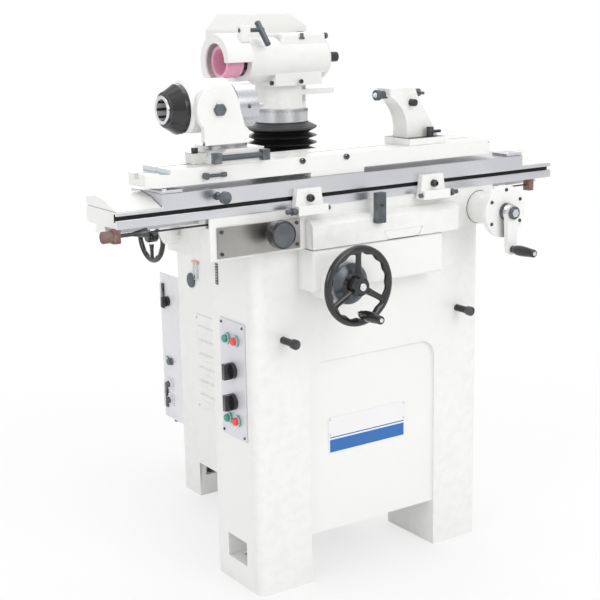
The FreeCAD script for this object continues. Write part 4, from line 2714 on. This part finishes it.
def wheel_guard():
    """The guard hood over the wheel, with a round mouth and the lug of its clamp rod."""
    axis = ("wheel_axis_y", "wheel_axis_height")
    hood = rod("x", axis, "guard_left", "guard_right", "guard_radius")
    inside = rod(
        "x",
        axis,
        "guard_left + guard_end_plate",
        "guard_right + overrun",
        "guard_radius - guard_wall",
    )
    mouth = rod(
        "x",
        axis,
        "guard_left - overrun",
        "guard_left + guard_end_plate + overrun",
        "guard_mouth_radius",
    )
    front_below = box(
        ("guard_left - overrun", "guard_right + overrun"),
        ("wheel_axis_y - guard_radius - overrun", "wheel_axis_y + guard_radius / 3"),
        ("wheel_axis_height - guard_radius - overrun", "wheel_axis_height"),
    )
    back_below = box(
        ("guard_left - overrun", "guard_right + overrun"),
        ("wheel_axis_y", "wheel_axis_y + guard_radius + overrun"),
        ("wheel_axis_height - guard_radius - overrun", "wheel_axis_height - guard_back_drop"),
    )
    flange = cut(
        rod("x", axis, "guard_right - guard_end_plate", "guard_right", "guard_radius"),
        rod(
            "x",
            axis,
            "guard_right - guard_end_plate - overrun",
            "guard_right + overrun",
            "wheel_flange_radius + overrun",
        ),
    )
    lug = box(
        ("guard_right - guard_lug_length", "guard_right"),
        ("guard_rod_y - guard_lug_width / 2", "guard_rod_y + guard_lug_width / 2"),
        ("guard_rod_height - guard_lug_height", "guard_rod_height + guard_lug_width / 2"),
    )
    bore = rod(
        "x",
        ("guard_rod_y", "guard_rod_height"),
        "guard_right - guard_lug_length - overrun",
        "guard_right + overrun",
        "guard_rod_radius + running_gap",
    )
    shell = fuse(cut(hood, inside, mouth), flange, cut(lug, inside_copy(axis)))
    return sub_part("wheel_guard", cut(shell, front_below, back_below, bore))


def inside_copy(axis):
    """The round space inside the guard, taken out of its lug."""
    return rod("x", axis, "guard_left", "guard_right", "guard_radius - guard_wall")


def guard_clamp_handle():
    """The clamp rod with its slanting cross bar."""
    start = "guard_right - guard_lug_length"
    end = "guard_right - guard_lug_length + guard_rod_length"
    stem = rod("x", ("guard_rod_y", "guard_rod_height"), start, end, "guard_rod_radius")
    bar = doc.addObject("Part::Cylinder", "bar")
    bar.setExpression("Radius", formula("guard_bar_radius"))
    bar.setExpression("Height", formula("guard_bar_length"))
    bar.Placement = Placement(Vector(), Rotation(Vector(1, 0, 0), value("guard_bar_lean")))
    bar.setExpression("Placement.Base.x", formula(f"{end} - guard_bar_radius"))
    for letter, centre, share in (
        ("y", "guard_rod_y", "sin(guard_bar_lean)"),
        ("z", "guard_rod_height", "-cos(guard_bar_lean)"),
    ):
        bar.setExpression(
            f"Placement.Base.{letter}", formula(f"{centre} + {share} * guard_bar_length / 3")
        )
    return sub_part("guard_clamp_handle", fuse(stem, bar))


def electrical_cabinet():
    """The cabinet behind the spine: an open box with sockets and a lamp on its left."""
    shell = box(
        ("-cabinet_half_width", "cabinet_half_width"),
        ("cabinet_front", "cabinet_back"),
        ("cabinet_bottom", "cabinet_top"),
    )
    hollow = box(
        ("-cabinet_half_width + cabinet_wall", "cabinet_half_width - cabinet_wall"),
        ("cabinet_front + cabinet_wall", "cabinet_back + overrun"),
        ("cabinet_bottom + cabinet_wall", "cabinet_top - cabinet_wall"),
    )
    switch_bore = rod(
        "x",
        ("cabinet_front + switch_setback", "switch_height"),
        "-cabinet_half_width - overrun",
        "-cabinet_half_width + overrun",
        "switch_radius / 2 + running_gap",
    )
    fittings = []
    for setback, height, radius in (
        ("lamp_setback", "lamp_height", "lamp_radius"),
        ("reset_button_setback", "lamp_height", "lamp_radius"),
        ("socket_setback", "upper_socket_height", "socket_radius"),
        ("socket_setback", "lower_socket_height", "socket_radius"),
    ):
        fittings.append(
            rod(
                "x",
                (f"cabinet_front + {setback}", height),
                "-cabinet_half_width - socket_length",
                "-cabinet_half_width + cabinet_wall / 2",
                radius,
            )
        )
    for height in (
        "cabinet_bottom + door_hinge_inset",
        "cabinet_top - door_hinge_inset - door_hinge_length",
    ):
        fittings.append(
            box(
                (
                    "-cabinet_half_width - door_hinge_radius",
                    "-cabinet_half_width + cabinet_wall / 2",
                ),
                ("cabinet_back - door_hinge_leaf", "cabinet_back - seat_gap"),
                (height, f"{height} + door_hinge_length"),
            )
        )
    return sub_part("electrical_cabinet", fuse(cut(shell, hollow, switch_bore), *fittings))


def cabinet_door():
    """The cabinet's rear door with its two hinge knuckles."""
    leaf = box(
        ("-cabinet_half_width", "cabinet_half_width"),
        ("cabinet_back + seat_gap", "door_back"),
        ("cabinet_bottom", "cabinet_top"),
    )
    dish = box(
        ("-cabinet_half_width + cabinet_wall * 3", "cabinet_half_width - cabinet_wall * 3"),
        ("cabinet_back - overrun", "door_back - cabinet_wall"),
        ("cabinet_bottom + cabinet_wall * 3", "cabinet_top - cabinet_wall * 3"),
    )
    knuckles = []
    for height in (
        "cabinet_bottom + door_hinge_inset",
        "cabinet_top - door_hinge_inset - door_hinge_length",
    ):
        knuckles.append(
            rod(
                "z",
                ("-cabinet_half_width", "door_back - door_hinge_radius"),
                height,
                f"{height} + door_hinge_length",
                "door_hinge_radius",
            )
        )
    return sub_part("cabinet_door", fuse(cut(leaf, dish), *knuckles))


def contactor_set():
    """What the cabinet holds: a mounting plate, three contactors and a transformer."""
    front = "cabinet_front + cabinet_wall + seat_gap"
    side = "cabinet_half_width - cabinet_wall * 3"
    plate = box(
        (f"-({side})", side),
        (front, f"{front} + contactor_plate"),
        ("cabinet_bottom + cabinet_wall * 3", "cabinet_top - cabinet_wall * 3"),
    )
    blocks = []
    for index in (-1, 0, 1):
        middle = f"contactor_width * 5 / 4 * {index}"
        blocks.append(
            box(
                (f"{middle} - contactor_width / 2", f"{middle} + contactor_width / 2"),
                (f"{front} + contactor_plate / 2", f"{front} + contactor_depth"),
                (
                    "cabinet_top - contactor_height * 2",
                    "cabinet_top - contactor_height",
                ),
            )
        )
    blocks.append(
        box(
            ("-transformer_width / 2", "transformer_width / 2"),
            (f"{front} + contactor_plate / 2", f"{front} + contactor_depth"),
            (
                "cabinet_bottom + contactor_height / 2",
                "cabinet_bottom + contactor_height / 2 + transformer_height",
            ),
        )
    )
    return sub_part("contactor_set", fuse(plate, *blocks))


def main_switch():
    """The rotary main switch on the cabinet's left."""
    spot = ("cabinet_front + switch_setback", "switch_height")
    knob = rod(
        "x",
        spot,
        "-cabinet_half_width - seat_gap - switch_length",
        "-cabinet_half_width - seat_gap",
        "switch_radius",
    )
    flat_sides = []
    for side in ("-", "+"):
        low, high = {
            "-": (
                "cabinet_front + switch_setback - switch_radius - overrun",
                "cabinet_front + switch_setback - switch_grip / 2",
            ),
            "+": (
                "cabinet_front + switch_setback + switch_grip / 2",
                "cabinet_front + switch_setback + switch_radius + overrun",
            ),
        }[side]
        flat_sides.append(
            box(
                (
                    "-cabinet_half_width - seat_gap - switch_length - overrun",
                    "-cabinet_half_width - seat_gap - switch_length / 3",
                ),
                (low, high),
                ("switch_height - switch_radius - overrun", "switch_height + switch_radius + overrun"),
            )
        )
    stem = rod(
        "x",
        spot,
        "-cabinet_half_width - seat_gap - switch_length / 3",
        "-cabinet_half_width + overrun",
        "switch_radius / 2",
    )
    return sub_part("main_switch", fuse(cut(knob, *flat_sides), stem))


def oil_supply():
    """The clear oil reservoir on the base's right and the sight tube on the spine's left."""
    left = "half_base + seat_gap"
    bracket = box(
        (left, f"{left} + oil_bracket_thickness"),
        ("oil_tank_front", "oil_tank_front + oil_tank_depth"),
        ("oil_tank_bottom", "oil_tank_bottom + oil_tank_height"),
    )
    tank = box(
        (f"{left} + oil_bracket_thickness", f"{left} + oil_tank_width"),
        (
            "oil_tank_front + oil_bracket_thickness",
            "oil_tank_front + oil_tank_depth - oil_bracket_thickness",
        ),
        ("oil_tank_bottom", "oil_tank_bottom + oil_tank_height - oil_bracket_thickness"),
    )
    cap = rod(
        "z",
        (
            f"{left} + (oil_tank_width + oil_bracket_thickness) / 2",
            "oil_tank_front + oil_tank_depth / 2",
        ),
        "oil_tank_bottom + oil_tank_height - overrun",
        "oil_tank_bottom + oil_tank_height + oil_cap_height",
        "oil_cap_radius",
    )
    tube_x = "-spine_half - seat_gap - sight_tube_radius"
    tubes = []
    for side in mirrored("sight_tube_spread / 2"):
        tubes.append(
            rod(
                "z",
                (tube_x, f"sight_tube_y + {side}"),
                "sight_tube_bottom",
                "sight_tube_bottom + sight_tube_height",
                "sight_tube_radius",
            )
        )
    bend = rod(
        "y",
        (tube_x, "sight_tube_bottom"),
        "sight_tube_y - sight_tube_spread / 2 - sight_tube_radius",
        "sight_tube_y + sight_tube_spread / 2 + sight_tube_radius",
        "sight_tube_radius",
    )
    return sub_part("oil_supply", group(fuse(bracket, tank, cap), fuse(*tubes, bend)))


def build():
    """Make every sub-part in its place."""
    base_casting()
    levelling_screws()
    lifting_studs()
    louvre_cover()
    control_panel()
    push_button("upper_start_button", "button_spread / 2", "upper_buttons_height")
    push_button("upper_stop_button", "(-button_spread / 2)", "upper_buttons_height")
    push_button("lower_start_button", "button_spread / 2", "lower_buttons_height")
    push_button("lower_stop_button", "(-button_spread / 2)", "lower_buttons_height")
    selector("upper_selector", "upper_selector_height")
    selector("lower_selector", "lower_selector_height")
    electrical_cabinet()
    cabinet_door()
    contactor_set()
    main_switch()
    oil_supply()
    apron_housing()
    cross_handwheel()
    grip(
        "cross_handwheel_grip",
        ("handwheel_x", "handwheel_height - grip_throw"),
        "handwheel_plane - rim_thickness - seat_gap",
    )
    cross_feed_screw()
    saddle_casting()
    saddle_cover_plate()
    saddle_lock_knob()
    table_stop_block()
    crank_housing()
    table_crank()
    grip(
        "crank_grip",
        ("crank_x", "crank_height - crank_throw"),
        "saddle_front - seat_gap * 3 - crank_flange_length - crank_barrel_length"
        " - crank_plate_length - crank_hub_length - crank_arm_thickness",
    )
    lower_table()
    table_end_covers()
    rope_brackets()
    traverse_rope()
    trip_dog("left_trip_dog", "left_dog_x", "-")
    trip_dog("right_trip_dog", "right_dog_x", "+")
    index_plunger()
    swivel_clamp_plates()
    swivel_table()
    table_clamp_lever()
    workhead_base()
    workhead_yoke()
    workhead_body()
    work_spindle()
    spindle_nose_nut()
    indexing_drum()
    tailstock_body()
    tailstock_quill()
    elevating_column()
    elevating_screw()
    elevating_handwheel()
    bellows()
    swivel_scale_ring()
    wheelhead_swivel_base()
    wheelhead_housing()
    belt_cover()
    wheelhead_motor()
    motor_pulley()
    drive_belt()
    grinding_spindle()
    cup_wheel()
    wheel_guard()
    guard_clamp_handle()


def write():
    """Check every object, then write one file for each sub-part."""
    doc.recompute()
    faults = [
        f"{item.Label}: {item.State}"
        for item in doc.Objects
        if {"Invalid", "Error"} & set(item.State)
    ]
    if faults:
        raise ValueError(", ".join(faults))
    for item in SUB_PARTS:
        if item.Shape.isNull() or not item.Shape.isValid() or not item.Shape.Solids:
            raise ValueError(f"{item.Label} has no valid solid")
    os.makedirs("parts", exist_ok=True)
    for item in SUB_PARTS:
        item.Shape.exportStep(os.path.join("parts", f"{item.Label}.step"))
        box_of = item.Shape.BoundBox
        print(item.Label, len(item.Shape.Solids), round(item.Shape.Volume), box_of)


build()
write()
